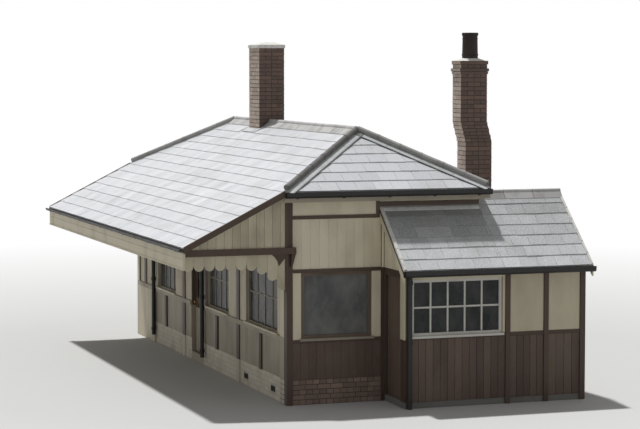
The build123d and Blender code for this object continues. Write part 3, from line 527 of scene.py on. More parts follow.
def hip_plane(side_x, side_sign, way):
    """A point on a hip and the level direction across it: towards the end of the building where way
    is 1, and away from it where way is -1."""
    foot, top = hip_line(side_x, side_sign)
    run = top - foot
    across = Vector((run.y, -run.x, 0)).normalized()
    return top, across * (way if across.x * side_x > 0 else -way)


stack_low, stack_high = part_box("ridge_chimney")
stack_on_front = (stack_low.x, stack_high.x, front_plane.up(canopy_y + stack_low.y), front_reach)
stack_on_rear = (-stack_high.x, -stack_low.x, rear_plane.up(eave_y - stack_high.y), rear_reach)
for name, seed, plane, reach, sign, hole in (
        ("front_slates", 11, front_plane, front_reach, -1, stack_on_front),
        ("rear_slates", 12, rear_plane, rear_reach, 1, stack_on_rear)):
    slated(name, seed, plane, -eave_x, eave_x, reach, [hip_plane(1, sign, 1), hip_plane(-1, sign, 1)], hole)
# The hip slopes' slates get a deeper tone: painted shade for the weaker light on those slopes
for side, name, seed in ((1, "near_hip_slates", 13), (-1, "far_hip_slates", 14)):
    plane = Face((side * eave_x, 0, eave_z), Y * side, (-side, 0, hip_slope))
    slated(name, seed, plane, -eave_y, eave_y, plane.up(eave_x - ridge_x),
           [hip_plane(side, -1, -1), hip_plane(side, 1, -1)], tone_middle=0.6)

pot_stack_low, pot_stack_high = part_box("rear_chimney")
annex_hole = (-pot_stack_high.y - 0.01, -pot_stack_low.y,
              annex_back_plane.up(pot_stack_low.x - annex_back_eave_x),
              annex_back_plane.up(pot_stack_high.x - annex_back_eave_x))
# The annex slates' dark colour and their darkening towards the top paint the shadows that the main roof and
# the rear chimney cast on the annex roof
slated("annex_slates", 15, annex_plane, -annex_verge, side_y, wall_reach, gauge=annex_gauge,
       tone_middle=0.2, tone_spread=0.07, painted_shade_rise=0.9, finish="mossy_slate")
slated("annex_rear_slates", 16, annex_plane, side_y + 0.002, annex_far_y, annex_reach,
       gauge=annex_gauge, tone_middle=0.25, tone_spread=0.07, painted_shade_rise=0.5, finish="mossy_slate")
slated("annex_back_slates", 17, annex_back_plane, -annex_far_y, -side_y,
       annex_back_plane.up(annex_ridge_x - annex_back_eave_x), hole=annex_hole, gauge=annex_gauge)

# Ridge tiles, each with its roll and a pointed joint
tile_length, tile_joint = 0.45, 0.012
ridge_lift, ridge_wing, ridge_roll = 0.020, 0.15, 0.038
annex_ridge_wing, annex_ridge_roll = 0.11, 0.03
core_inset, core_end = 0.006, 0.004


def ridge_profile(base, run, wing, slope, lift, roll):
    """One end ring of a winged ridge tile, as points round its section."""
    side = run.cross(Z).normalized()
    foot = -wing * slope
    neck, shoulder = roll * 0.95, lift + roll * 0.35
    section = [(-wing, foot + lift), (-neck, shoulder)]
    for turn in evenly(pi, 0.0, 7):
        section.append((cos(turn) * roll, lift + roll * 0.6 + sin(turn) * roll))
    section += [(neck, shoulder), (wing, foot + lift), (wing, foot), (0.0, 0.0), (-wing, foot)]
    return [base + side * across + Z * height for across, height in section]


def ridge_tiles(name, seed, start, end, wing, slope, roll, replaced=None):
    """A run of ridge tiles from start to end, over a core of mortar that shows in their joints."""
    run, length = (end - start).normalized(), (end - start).length
    count = max(1, round(length / tile_length))
    pitch = length / count
    with Pile(name, seed, "ridge_clay", "ridge_clay", replaced=replaced) as pile:
        for number in range(count):
            lift = ridge_lift + pile.random.uniform(-0.002, 0.003)
            places = (number * pitch + tile_joint / 2, (number + 1) * pitch - tile_joint / 2)
            pile.skin([ridge_profile(start + run * u, run, wing, slope, lift, roll) for u in places])
    with Pile(name + "_joints", seed + 1, "mortar", "ridge_clay") as pile:
        pile.skin([ridge_profile(start + run * u, run, wing - core_inset, slope, ridge_lift - core_inset,
                                 roll - core_end) for u in (core_end, length - core_end)], 0.5)


for name, seed, start_x, end, replaced in (("ridge_far", 21, -ridge_x, stack_low.x, "ridge_tiles"),
                                           ("ridge_near", 23, stack_high.x, ridge_x, None)):
    ridge_tiles(name, seed, Vector((start_x, 0, ridge_z)), Vector((end, 0, ridge_z)), ridge_wing, main_slope,
                ridge_roll, replaced)
annex_ridge = [Vector((annex_ridge_x, place.y, annex_ridge_z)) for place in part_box("annex_ridge_tiles")]
ridge_tiles("annex_ridge", 25, *annex_ridge, annex_ridge_wing, annex_slope, annex_ridge_roll,
            "annex_ridge_tiles")

# Lead strips beside the hip rolls, the one on the hip side wider and with a welted edge, and the roll's own
# tiles. The welt's dark clay is a painted shadow line at the strip's edge, and the near front hip's dark
# tiles are painted shade on the roll's side away from the sun
strip_start, strip_pieces, main_strip, hip_strip = 0.02, 4, 0.062, 0.135
strip_foot, strip_lift, welt_foot, welt_lift = 0.010, 0.0195, 0.008, 0.027
hip_tile, hip_roll_radius, hip_roll_start = 0.42, 0.045, 0.07
for side_x, side_sign in ((1, -1), (1, 1), (-1, -1), (-1, 1)):
    foot, top = hip_line(side_x, side_sign)
    run, reach = (top - foot).normalized(), (top - foot).length
    corner = f"{'near' if side_x > 0 else 'far'}_{'front' if side_sign < 0 else 'rear'}"
    seed = side_x + 3 * side_sign
    slope_normal = Vector((0, side_sign * main_slope, 1)).normalized()
    hip_normal = Vector((side_x * hip_slope, 0, 1)).normalized()
    with (Pile(f"hip_welts_{corner}", 61 + seed, "hip_clay", "flashing_lead") as welts,
          Pile(f"hip_strips_{corner}", 31 + seed, "sheet_lead", "flashing_lead") as strips):
        for normal, other, width in ((slope_normal, hip_normal, main_strip),
                                     (hip_normal, slope_normal, hip_strip)):
            away = run.cross(normal)
            face = Face(foot, run, -away if away.dot(other) > 0 else away)
            up = 1 if face.n.dot(normal) > 0 else -1
            pitch = (reach - strip_start) / strip_pieces
            for i in range(strip_pieces):
                start = strip_start + i * pitch
                strips.plate(face, start, start + pitch - 0.004, 0.0, width,
                             up * (strip_lift + 0.001 * (i % 2)), back=up * strip_foot)
        # The welt follows the edge of the last strip, which is the hip side's
        welts.plate(face, strip_start, reach, width - 0.002, width + 0.016, up * welt_lift, 0.6,
                    back=up * welt_foot)
        strips.cut(top, Z)
        welts.cut(top, Z)
    lift = run.cross(Z.cross(run)).normalized() * (hip_roll_radius + 0.0003)
    clay = "hip_clay" if corner == "near_front" else "grey_clay"
    with Pile(f"hip_tiles_{corner}", 81 + seed, clay, "ridge_clay") as tiles:
        count = round((reach - hip_roll_start) / hip_tile)
        pitch = (reach - hip_roll_start) / count
        for i in range(count):
            place = foot + run * (hip_roll_start + i * pitch) + lift
            tiles.tube(place, place + run * (pitch - 0.006), hip_roll_radius + 0.003, 18)
            tiles.tube(place, place + run * 0.03, hip_roll_radius + 0.006, 18, 0.5)
        tiles.cut(top + Z * 0.11, Z)

# Lead apron round the foot of the ridge chimney
apron_width, apron_drop, apron_foot, apron_lift, apron_end = 0.09, 0.13, 0.012, 0.022, 0.15
with Pile("chimney_apron", 41, "sheet_lead", "flashing_lead") as pile:
    for plane, (left, right, foot, reach) in ((front_plane, stack_on_front), (rear_plane, stack_on_rear)):
        pile.plate(plane, left - apron_width, right + apron_width, foot - apron_drop, foot, apron_lift,
                   0.3, back=apron_foot)
        for u in (left - apron_width, right):
            pile.plate(plane, u, u + apron_width, foot, reach - apron_end, apron_lift, 0.4, back=apron_foot)


# Bricks of the chimneys. Those that face the platform are paler: painted sunlight on that side, against the
# darker sooty brick of the others
def stack_faces(low, high):
    """Working planes of an upright stack's four sides, the platform's first, and their widths."""
    wide, deep = (high - low).xy
    return ((Face((low.x, low.y, 0), X, Z), wide), (Face((high.x, low.y, 0), Y, Z), deep),
            (Face((high.x, high.y, 0), -X, Z), wide), (Face((low.x, high.y, 0), -Y, Z), deep))


def stack_bricks(front_pile, side_pile, box, foot, top):
    """Bricks round an upright stack."""
    for number, (face, width) in enumerate(stack_faces(*box)):
        (side_pile if number else front_pile).bricks(face, 0.0, width, foot, top)


under_slates = eave_z + 0.6
with (Pile("ridge_chimney_front_bricks", 56, "weathered_brick", "chimney_brick") as front_pile,
      Pile("ridge_chimney_bricks", 51, "sooty_brick", "chimney_brick") as side_pile):
    stack_bricks(front_pile, side_pile, (stack_low, stack_high), under_slates, stack_high.z)

# The rear stack shifts towards the ridge part of the way up
ridge_cap, *_, pot_cap = islands("chimney_caps")
cap_out = pot_stack_low.x - pot_cap[0].x
stack_depth = pot_cap[1].y - pot_cap[0].y - 2 * cap_out
shift = pot_stack_high.y - (pot_cap[1].y - cap_out)
lower_y0, lower_y1 = pot_stack_high.y - stack_depth, pot_stack_high.y
lower = (Vector((pot_stack_low.x, lower_y0, 0)), Vector((pot_stack_high.x, lower_y1, 0)))
upper = (lower[0] - Y * shift, lower[1] - Y * shift)
shift_foot, shift_top = sorted({round(v.co.z, 4) for v in nodes["rear_chimney"].data.vertices})[1:3]
shift_rows = 3
shift_row = (shift_top - shift_foot) / shift_rows
lean = Vector((0, -shift, shift_top - shift_foot))
above_annex = 2.2
with (Pile("rear_chimney_front_bricks", 57, "weathered_brick", "chimney_brick") as front_pile,
      Pile("rear_chimney_bricks", 52, "sooty_brick", "chimney_brick") as side_pile):
    stack_bricks(front_pile, side_pile, lower, above_annex, shift_foot)
    stack_bricks(front_pile, side_pile, upper, shift_top, pot_stack_high.z)
    for pile, corner, across in ((front_pile, lower[0], X), (side_pile, lower[1], -X)):
        pile.bricks(Face(corner + Z * shift_foot, across, lean), 0.0, pot_stack_high.x - pot_stack_low.x,
                    0.0, lean.length)
    for (face, width), way in ((stack_faces(*lower)[1], -1), (stack_faces(*lower)[3], 1)):
        face = Face(face.origin + Z * shift_foot, face.u, Z)
        for row in range(shift_rows):
            slide = way * shift * (row + 0.5) / shift_rows
            side_pile.bricks(face, slide, slide + width, row * shift_row, (row + 1) * shift_row)
    side_pile.bricks(stack_faces(*lower)[3][0], 0.0, stack_depth, pot_stack_low.z, above_annex)

# Chimney heads: oversailing courses, weathered tops, and the pot's rings
band_foot = pot_stack_high.z - 0.16
with (Pile("chimney_band_fronts", 59, "weathered_brick", "chimney_brick") as front_pile,
      Pile("chimney_bands", 53, "sooty_brick", "chimney_brick") as pile):
    for foot, top, out, box in ((band_foot, band_foot + 0.043, 0.016, upper),
                                (band_foot + 0.045, band_foot + 0.093, 0.028, upper),
                                (pot_cap[0].z - 0.001, pot_cap[1].z + 0.001, 0.002, pot_cap)):
        pile.slab(box, foot, top, out, None, 0.004)
        # Each band's front on the platform side is in the paler brick: painted sunlight
        face = Face((box[0].x - out, box[0].y - out, 0), X, Z)
        front_pile.plate(face, 0.004, box[1].x - box[0].x + 2 * out - 0.004, foot + 0.004, top - 0.006, 0.002)

crown_rise, flaunch_rise = 0.05, 0.04
with Pile("ridge_chimney_crown", 58, "cement_fillet", "cap_stone") as pile:
    low_z, high_z = ridge_cap[0].z, ridge_cap[1].z
    pile.slab(ridge_cap, low_z - 0.002, high_z + 0.004, 0.004, 0.2, 0.008)
    pile.slab(ridge_cap, high_z, high_z + crown_rise, -0.02, 0.1, top_out=-0.16)

pot_low, pot_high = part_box("chimney_pot")
pot_middle = (pot_low + pot_high) / 2
pot_base_radius = (pot_high.x - pot_low.x) / 2
rim_z = pot_high.z
rim_x = max(v.co.x for v in nodes["chimney_pot"].data.vertices if v.co.z > rim_z - 0.001)
pot_top_radius = rim_x - pot_middle.x
with Pile("chimney_pot_rings", 54, "pot_clay", "chimney_pot") as pile:
    for z, radius, height, out in ((rim_z - 0.05, pot_top_radius - 0.002, 0.052, 0.016),
                                   (rim_z - 0.11, pot_top_radius, 0.02, 0.007),
                                   (pot_low.z + 0.09, pot_base_radius - 0.003, 0.025, 0.008)):
        pile.ring(pot_middle, ((radius - 0.02, z), (radius + out * 0.7, z), (radius + out, z + height * 0.35),
                               (radius + out, z + height * 0.7), (radius + out * 0.6, z + height),
                               (radius - 0.02, z + height)))

with Pile("chimney_flaunching", 55, "cement_fillet", "cap_stone") as pile:
    pile.slab(pot_cap, pot_cap[1].z, pot_cap[1].z + flaunch_rise, -0.004, 0.3, top_out=-0.13)
    pile.ring(pot_middle, [(pot_base_radius + out, pot_low.z + up) for out, up in
                           ((-0.02, 0.0), (0.075, 0.0), (0.03, 0.035), (-0.02, 0.05))], tone=0.3)


# Brick base under the boards. Its front is painted in the boards' colour and its ends are bare
def on_front(node):
    """The solids of a node that stand out from the platform wall."""
    return [box for box in islands(node) if box[0].y < -side_y - proud / 2]


stud_limit = base_top + 1.0
front_posts = [front.run(box) for box in on_front("wall_posts") if box[1].z > stud_limit]
studs = widened([front.run(box) for box in on_front("wall_posts") if box[1].z < stud_limit], 0.015)
pipes = widened([front.run(box) for box in islands("downpipes") if box[1].y < -side_y], 0.012)
doorway = [o for o in frame["record"]["physics"]["openings"] if o["name"] == "platform_doorway"][0]
door_gap = 0.010
door_x0, door_x1 = doorway["box_m"][0][0] - door_gap, doorway["box_m"][1][0] + door_gap
door_run = (door_x0, door_x1)
bay_end = pipes[0][0]
corner_end = end_x - 0.10
corner_run = (front_posts[-1][0], corner_end)
base_runs = spans(bay_end, end_x, front_posts + [door_run])
cover_y, end_edge = -0.06, side_y - 0.07
near_bay, far_bay = (-end_edge, cover_y), (-end_edge, end_edge)

vent_places = (3.97, 2.50)
vent_width, vent_foot, vent_height, vent_rim = 0.26, 0.25 * base_top, 0.32 * base_top, 0.02
vent_bars, vent_bar, vent_margin, vent_back, vent_out = 5, 0.014, 0.012, 0.004, 0.010
vents = [(x - vent_width / 2, x + vent_width / 2, vent_foot, vent_foot + vent_height) for x in vent_places]
with Pile("front_base_bricks", 61, "painted_brick", "base_brick") as pile:
    for a, b in base_runs:
        pile.bricks(front, a, b, 0.0, base_top, vents)
    pile.bricks(front_proud, *corner_run, 0.0, base_top)
    for a, b in front_posts[2:-1]:
        pile.plate(front_proud, a - 0.003, b + 0.003, 0.0, base_top - 0.002, 0.005, 0.5, 0.002)
        for face, start in ((Face((b, 0, 0), Y, Z), -side_y - proud), (Face((a, 0, 0), -Y, Z), side_y)):
            pile.plate(face, start, start + proud, 0.0, base_top - 0.002, 0.003, 0.5)
with Pile("front_base_joints", 64, "painted_mortar", "base_brick") as pile:
    pile.plates(front, base_runs, 0.0, base_top, 0.002)
with Pile("base_bricks", 62, "base_brick", "base_brick") as pile:
    pile.bricks(rear, -annex_back_x, end_x, 0.0, base_top)
    pile.bricks(near_end, *near_bay, 0.0, base_top)
    pile.bricks(far_end, *far_bay, 0.0, base_top)

with Pile("air_vents", 63, "black_iron", "gutter_iron") as pile:
    for low_u, high_u, low_v, high_v in vents:
        u0, u1, v0, v1 = low_u + vent_rim, high_u - vent_rim, low_v + vent_rim, high_v - vent_rim
        pile.plate(front, u0, u1, v0, v1, vent_back, 0.5)
        for i in range(vent_bars):
            left = u0 + vent_margin + i * (u1 - u0 - 2 * vent_margin) / vent_bars
            pile.plate(front, left, left + vent_bar, v0 + 0.01, v1 - 0.01, vent_out, 0.2, back=vent_back)
        for v in (v0, v1 - 0.01):
            pile.plate(front, u0, u1, v, v + 0.01, vent_out, 0.2, back=vent_back)

# Boards of the platform wall
window_middle_z = 1.5
sill_rail = next(box for box in on_front("wall_rails") if box[1].z < window_middle_z)
head_rail = next(box for box in on_front("wall_rails") if box[0].z > window_middle_z)
sill_foot, sill_z = sill_rail[0].z, sill_rail[1].z
head_z, head_top = head_rail[0].z, head_rail[1].z
front_windows = [front.run(box) for box in islands("front_window_frames")]
door_strip = (door_x1, min(a for a, b in front_windows if a > door_x1))
front_top = roof_z(side_y) - roof_depth - 0.11
far_corner = -end_x - proud
with Pile("front_stud_boards", 65, "brown_paint", "dark_trim") as pile:
    pile.plates(front, studs, base_top + 0.001, sill_foot, proud + 0.010, 0.5, trim_edge)
with Pile("front_rail_boards", 66, "stone_paint", "dark_trim") as pile:
    pile.plates(front_proud, spans(far_corner, corner_end, pipes + [door_run]), sill_foot, sill_z,
                0.006, 0.3, 0.002, inset=0.001)
with Pile("far_bay_boards", 67, "cream_paint", "wall_boards") as pile:
    pile.boards(front, [(far_corner, bay_end)], 0.0, sill_foot, width=0.16, depth=proud + 0.009,
                gap=0.002, edge=0.0015, inset=0.0)
with Pile("front_dado_boards", 71, "stone_paint", "wall_boards") as pile:
    blocked = front_posts + studs + [door_run]
    pile.boards(front, spans(bay_end, end_x, blocked), base_top, sill_foot, width=dado_width)
    pile.boards(front_proud, [corner_run], base_top, sill_foot, width=dado_width, depth=0.008, inset=0.0)
with Pile("front_boards", 72, "cream_paint", "wall_boards") as pile:
    blocked = front_posts + front_windows + [door_run, door_strip]
    pile.boards(front, spans(-end_x, end_x, blocked), sill_z, head_z)
    pile.boards(front, spans(-end_x, end_x, front_posts), head_top, front_top)
# The corner boards are in the paler cream, painted light as if the sun fell on them
with Pile("front_corner_boards", 68, "bright_cream_paint", "wall_boards") as pile:
    pile.boards(front_proud, [corner_run, (far_corner, front_posts[0][1])], sill_z, front_top, width=0.1,
                depth=0.008, inset=0.0)

# Platform doorway: a dark board between it and the next window, painted linings and the step's face
threshold_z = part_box("main_floor")[1].z
lining_thick, lining_deep, rail_cover = 0.003, 0.070, proud + 0.006
door_sides = ((Face((door_x0, 0, 0), Y, Z), -side_y, -side_y - rail_cover),
              (Face((door_x1, 0, 0), -Y, Z), side_y - lining_deep, side_y))
with Pile("platform_door_side_board", 69, "frame_paint", "wall_boards") as pile:
    pile.plates(front, [door_strip], sill_z, head_z, board_depth, 0.5, trim_edge, board_inset)
with Pile("platform_door_low_linings", 70, "stone_paint", "wall_boards") as pile:
    for face, inner, outer in door_sides:
        pile.plate(face, inner, inner + lining_deep, threshold_z + 0.002, sill_foot, lining_thick, 0.4)
        pile.plate(face, outer, outer + rail_cover, sill_foot, sill_z, lining_thick, 0.1)
    pile.plates(front, [door_run], 0.0, threshold_z - 0.002, 0.004, 0.2, inset=board_inset)
# The upper linings are dark: painted shade inside the doorway
with Pile("platform_door_high_linings", 79, "frame_paint", "dark_trim") as pile:
    for face, inner, outer in door_sides:
        pile.plate(face, inner, inner + lining_deep, sill_foot + 0.001, head_z, lining_thick, 0.4)

# Boards of the two ends and the rear
end_rails = sorted({(round(low.z, 4), round(high.z, 4)) for low, high in islands("wall_rails")
                    if low.x > end_x - 0.001})
(end_sill_foot, end_sill), (end_head, end_head_top), (frieze_foot, frieze_top), (_, top_rail_top) = end_rails
end_window = islands("end_window_frames")[-1]
wall_top = eave_z - roof_depth - 0.01
annex_rail_foot, annex_rail_top = 1.09, 1.15
door_head_low, door_head_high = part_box("annex_wall_over_door")
annex_door_head = door_head_low.z
annex_head_top = annex_door_head + 0.11
# The end walls' boards are in the paler cream, painted light that lifts their shade; the top panel under the
# eave gets paler tones still
with Pile("near_end_boards", 73, "bright_cream_paint", "wall_boards") as pile:
    pile.boards(near_end, spans(*near_bay, [near_end.run(end_window)]), end_sill, end_head)
    pile.boards(near_end, [near_bay], end_head_top, frieze_foot, width=0.145, gap=0.002, edge=0.0015)
    pile.boards(near_end, [(-end_edge, -annex_verge)], frieze_top, wall_top, width=1.5, tones=(0.0, 0.1))
    pile.boards(near_end, [(-annex_verge, side_y)], top_rail_top, wall_top, width=one_board)
    pile.boards(near_end_proud, [(cover_y + 0.001, cover_y + 0.042)], annex_head_top,
                annex_roof_z(end_x + proud) - annex_depth - 0.03, depth=0.006, inset=0.0)
with Pile("near_end_dado_boards", 74, "dado_paint", "wall_boards") as pile:
    pile.boards(near_end, [near_bay], base_top, end_sill_foot, width=dado_width, gap=0.003, edge=0.002,
                tones=(0.25, 0.65))
with Pile("far_end_boards", 75, "bright_cream_paint", "wall_boards") as pile:
    pile.boards(far_end, spans(*far_bay, [far_end.run(end_window)]), end_sill, end_head)
    pile.boards(far_end, [far_bay], end_head_top, frieze_foot)
    pile.boards(far_end, [far_bay], frieze_top, wall_top, width=0.5)
with Pile("far_end_dado_boards", 76, "dado_paint", "wall_boards") as pile:
    pile.boards(far_end, [far_bay], base_top, end_sill_foot, width=dado_width)

rear_run = (-annex_back_x + 0.002, end_x - 0.13)
rear_windows = [rear.run(box) for box in islands("rear_window_frames")]
with Pile("rear_boards", 77, "cream_paint", "wall_boards") as pile:
    pile.boards(rear, spans(*rear_run, rear_windows), sill_z, head_z)
    pile.boards(rear, [rear_run], head_top, wall_top)
with Pile("rear_dado_boards", 78, "dado_paint", "wall_boards") as pile:
    pile.boards(rear, [rear_run], base_top, sill_foot, width=dado_width)
with Pile("rear_rails", 79, "brown_paint", "dark_trim") as pile:
    for v0, v1 in ((sill_foot, sill_z), (head_z, head_top)):
        pile.plate(rear, *rear_run, v0, v1, proud, 0.4, trim_edge)

# Annex boards: dark below the sill and light above it
annex_posts = [annex_front.run(box) for box in islands("annex_posts")]
annex_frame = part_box("annex_window_frame")
annex_frame_z0, annex_frame_z1 = annex_frame[0].z, annex_frame[1].z
annex_window = annex_front.run(annex_frame)
annex_top = annex_wall_high.z - (annex_x - annex_inner_x) * annex_slope - 0.004
annex_back_top = under_annex(annex_back_x)
annex_runs = spans(0.0, annex_y, annex_posts)
side_run, gable_run = (end_x + proud, annex_x), (-annex_x, -annex_back_x)
back_runs = spans(-annex_y, -side_y, [(-lower_y1 - 0.01, -lower_y0 + 0.01)])
no_limit = 9.0
# These boards are in the paler cream: painted light
with Pile("annex_side_light_boards", 89, "bright_cream_paint", "wall_boards") as pile:
    pile.boards(annex_side, [side_run], annex_head_top, no_limit, top=under_annex)
    pile.boards(annex_gable, [gable_run], annex_rail_top, no_limit, top=lambda u: under_annex(-u))
with Pile("annex_dark_boards", 81, "dado_paint", "wall_boards") as pile:
    pile.boards(annex_front, annex_runs, annex_floor_z, annex_rail_foot, width=annex_board_width)
    pile.boards(annex_front, [annex_window], annex_rail_foot, annex_frame_z0, width=one_board, inset=0.0)
    pile.boards(annex_gable, [gable_run], annex_floor_z, annex_rail_foot, width=annex_board_width)
    pile.boards(annex_back, back_runs, annex_floor_z, annex_rail_foot, width=annex_board_width)
with Pile("annex_light_boards", 82, "cream_paint", "wall_boards") as pile:
    pile.boards(annex_front, spans(0.0, annex_y, annex_posts + [annex_window]), annex_rail_top, annex_top,
                width=1.0)
    pile.boards(annex_front, [annex_window], annex_frame_z1, annex_top, width=one_board, inset=0.0)
    pile.boards(annex_back, back_runs, annex_rail_top, annex_back_top)

annex_door_run = (door_head_low.x, door_head_high.x)
lining_depth, corner_width = 0.045, 0.09
panel_out, head_out, rail_out, corner_out = 0.013, 0.018, 0.024, 0.028
with Pile("annex_rails", 83, "brown_paint", "dark_trim") as pile:
    pile.plates(annex_side, spans(*side_run, [annex_door_run]), annex_floor_z, annex_door_head, panel_out,
                0.4, trim_edge, inset=0.001)
    pile.plates(annex_side, [side_run], annex_door_head + 0.001, annex_head_top, head_out, 0.4, trim_edge,
                inset=0.001)
    for face, start in ((Face((door_head_low.x, 0, 0), Y, Z), 0.0),
                        (Face((door_head_high.x, 0, 0), -Y, Z), -lining_depth)):
        pile.plate(face, start, start + lining_depth, annex_floor_z, annex_door_head, lining_thick, 0.4)
    face = Face((0, 0, annex_door_head), X, -Y)
    pile.plate(face, *annex_door_run, -lining_depth, 0.0, 0.0, 0.4, back=-lining_thick)
    pile.plates(annex_front, annex_runs, annex_rail_foot, annex_rail_top - 0.012, rail_out, 0.4, trim_edge)
    for face, runs in ((annex_gable, [gable_run]), (annex_back, back_runs)):
        pile.plates(face, runs, annex_rail_foot, annex_rail_top, rail_out, 0.4, trim_edge)
    pile.plate(annex_front, 0.0, annex_posts[0][0] - 0.001, annex_floor_z, annex_rail_foot, 0.012, 0.4)
    for u, top in ((-annex_x, annex_top), (-annex_back_x - corner_width, annex_back_top)):
        pile.plate(annex_gable, u, u + corner_width, 0.0, top - 0.02, corner_out, 0.5, trim_edge)
with Pile("annex_corner_board", 84, "cream_paint", "light_trim") as pile:
    pile.plate(annex_side, annex_x - 0.15, annex_x + 0.012, annex_rail_foot, annex_top, corner_out, 0.2,
               trim_edge)

# Cement fillets along the annex roof's verges, and the lead apron where its front slope meets the wall
fillet_pieces = 6
with Pile("annex_verge_fillets", 86, "cement_fillet", "cap_stone") as pile:
    for u0, u1, reach in ((-annex_verge + 0.004, -annex_verge + 0.060, wall_reach),
                          (annex_far_y - 0.046, annex_far_y - 0.004, annex_reach - 0.12)):
        pitch = reach / fillet_pieces
        for i in range(fillet_pieces):
            pile.plate(annex_plane, u0, u1, i * pitch + 0.002, (i + 1) * pitch - 0.002,
                       pile.random.uniform(0.026, 0.030), None, 0.008, 0.012)
with Pile("annex_wall_apron", 87, "pale_lead", "flashing_lead") as pile:
    middle = (side_y - annex_verge) / 2
    for u0, u1, out in ((-annex_verge + 0.05, middle, 0.021), (middle + 0.002, side_y - 0.01, 0.0225)):
        pile.plate(annex_plane, u0, u1, wall_reach - 0.10, wall_reach - 0.030, out, 0.1, back=0.012)


# Verge boards along the annex roof's sloping edges, and a dark strip below the slates' ends of its front
# verge, which is painted shade under them
def verge_strip(pile, y0, y1, first_x, last_x, high, low, tone):
    """A strip along the annex roof, between two depths under its top face."""
    corners = ((y0, high), (y1, high), (y1, low), (y0, low))
    pile.skin([[Vector((x, y, annex_roof_z(x) - depth)) for y, depth in corners] for x in (first_x, last_x)],
              tone)


verge_depth, verge_thick = 0.12, 0.026
with Pile("annex_verges", 85, "cream_paint", "light_trim") as pile:
    for y, first_x, last_x in ((-annex_verge, end_x + 0.005, annex_eave_x),
                               (annex_far_y - verge_thick, annex_ridge_x, annex_eave_x),
                               (annex_far_y - verge_thick, annex_ridge_x, annex_back_eave_x)):
        verge_strip(pile, y, y + verge_thick, first_x, last_x, annex_depth - 0.004,
                    annex_depth + verge_depth, 0.2)
with Pile("annex_undercloak", 88, "brown_paint", "dark_trim") as pile:
    verge_strip(pile, -annex_verge - 0.004, -annex_verge, end_x + 0.005, annex_eave_x, 0.002, 0.042, 0.4)

# Canopy: boards of the triangle under the sloping end
triangle_low, triangle_high = islands("canopy_end_boards")[-1]
tie_low, tie_high = islands("tie_beams")[-1]
tie_foot, tie_top, tie_end = tie_low.z, tie_high.z, tie_high.y
canopy_ends = [(side, side * triangle_high.x, Face((side * triangle_high.x, 0, 0), Y * side, Z))
               for side in (1, -1)]
with Pile("canopy_end_facing", 91, "worn_cream_paint", "light_trim") as pile:
    for side, outer, face in canopy_ends:
        run = tuple(sorted((side * triangle_low.y, side * (-side_y - proud))))
        pile.boards(face, [run], tie_top, no_limit, width=0.128, depth=0.012,
                    top=lambda u, s=side: roof_z(u * s) - roof_depth - 0.004)

# Each valance is faced with upright boards whose lower ends are its lobes
valance_low, valance_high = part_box("valances")
valance_lobes, valance_depth, bracket_drop, lobe_share, straight_share = 10, 0.158, 0.43, 0.44, 0.57
valance_length = valance_high.y - valance_low.y
lobe = valance_length / valance_lobes
lobe_radius = lobe_share * lobe - 0.002
curve_start = valance_low.y + straight_share * valance_length


def valance_edge(y):
    """Height of the valance's edge between its lobes."""
    fall = max(0.0, (y - curve_start) / (valance_high.y - curve_start))
    return tie_foot - valance_depth - bracket_drop * fall ** 2


with Pile("valance_boards", 94, "worn_cream_paint", "light_trim") as pile:
    for side, outer, face in canopy_ends:
        for number in range(valance_lobes):
            y0 = valance_low.y + number * lobe + 0.0015
            y1 = y0 + lobe - 0.003
            middle = (y0 + y1) / 2
            edge_z = valance_edge(middle) + 0.002
            outline = [(y0, tie_foot), (y0, valance_edge(y0) + 0.002)]
            for turn in evenly(pi, tau, 13):
                outline.append((middle + lobe_radius * cos(turn), edge_z + lobe_radius * sin(turn)))
            outline += [(y1, valance_edge(y1) + 0.002), (y1, tie_foot)]
            thick = pile.random.uniform(0.007, 0.009)
            pile.slice(outline, outer, outer + side * thick, pile.random.uniform(0.2, 0.6))

# Dark boards that close the canopy's ends against the wall's corner, and under each end tie, on both sides of
# them, a dark knee and a spur. The knee's dark triangle is painted shade in the corner behind the valance's
# curve
closer_out, corner_shade_out = 0.022, 0.018
closer_y = -side_y - proud - 0.055
corner_shade = [(closer_y - back, tie_foot - down) for back, down in
        ((0.0, 0.001), (0.22, 0.001), (0.165, 0.05), (0.125, 0.11), (0.10, 0.185), (0.03, 0.10), (0.0, 0.07))]
spur = [(tie_end + out, z) for out, z in
        ((-0.065, tie_foot - 0.20), (-0.040, tie_foot - 0.20), (0.027, tie_top - 0.06),
         (-0.02, tie_top - 0.01), (-0.065, tie_top - 0.01))]
with Pile("canopy_end_posts", 95, "brown_paint", "dark_trim") as pile:
    for side, outer, face in canopy_ends:
        run = [tuple(sorted((side * closer_y, side * (-side_y - proud))))]
        pile.plates(face, run, tie_top + 0.001, roof_z(closer_y) - roof_depth - 0.005, closer_out, 0.4,
                    trim_edge)
        pile.plates(face, run, valance_edge(valance_high.y) - 0.02, tie_foot - 0.001, closer_out, 0.4,
                    trim_edge)
        pile.slice(corner_shade, outer, outer + side * corner_shade_out, 0.4)
        pile.slice(spur, side * (end_x + 0.012), side * (end_x + proud + 0.05), 0.4, trim_edge)

# Boards under the canopy's slates, between the rafters
under_front = Face((0, -canopy_y, roof_z(canopy_y) - roof_depth), -X, (0, 1, main_slope))
ceiling_width, ceiling_start, ceiling_thick = 0.14, 0.04, 0.011
ceiling_rows = int((under_front.up(canopy_y - side_y) - 0.06) / ceiling_width)
rafters = [under_front.run(box) for box in islands("canopy_rafters")]
with Pile("canopy_ceiling_boards", 92, "rafter_paint", "rafter_wood") as pile:
    for a, b in spans(-end_x - 0.02, end_x + 0.02, rafters):
        for row in range(ceiling_rows):
            start = ceiling_start + row * ceiling_width
            pile.plate(under_front, a + 0.001, b - 0.001, start + 0.002, start + ceiling_width - 0.002,
                       ceiling_thick, None, trim_edge)

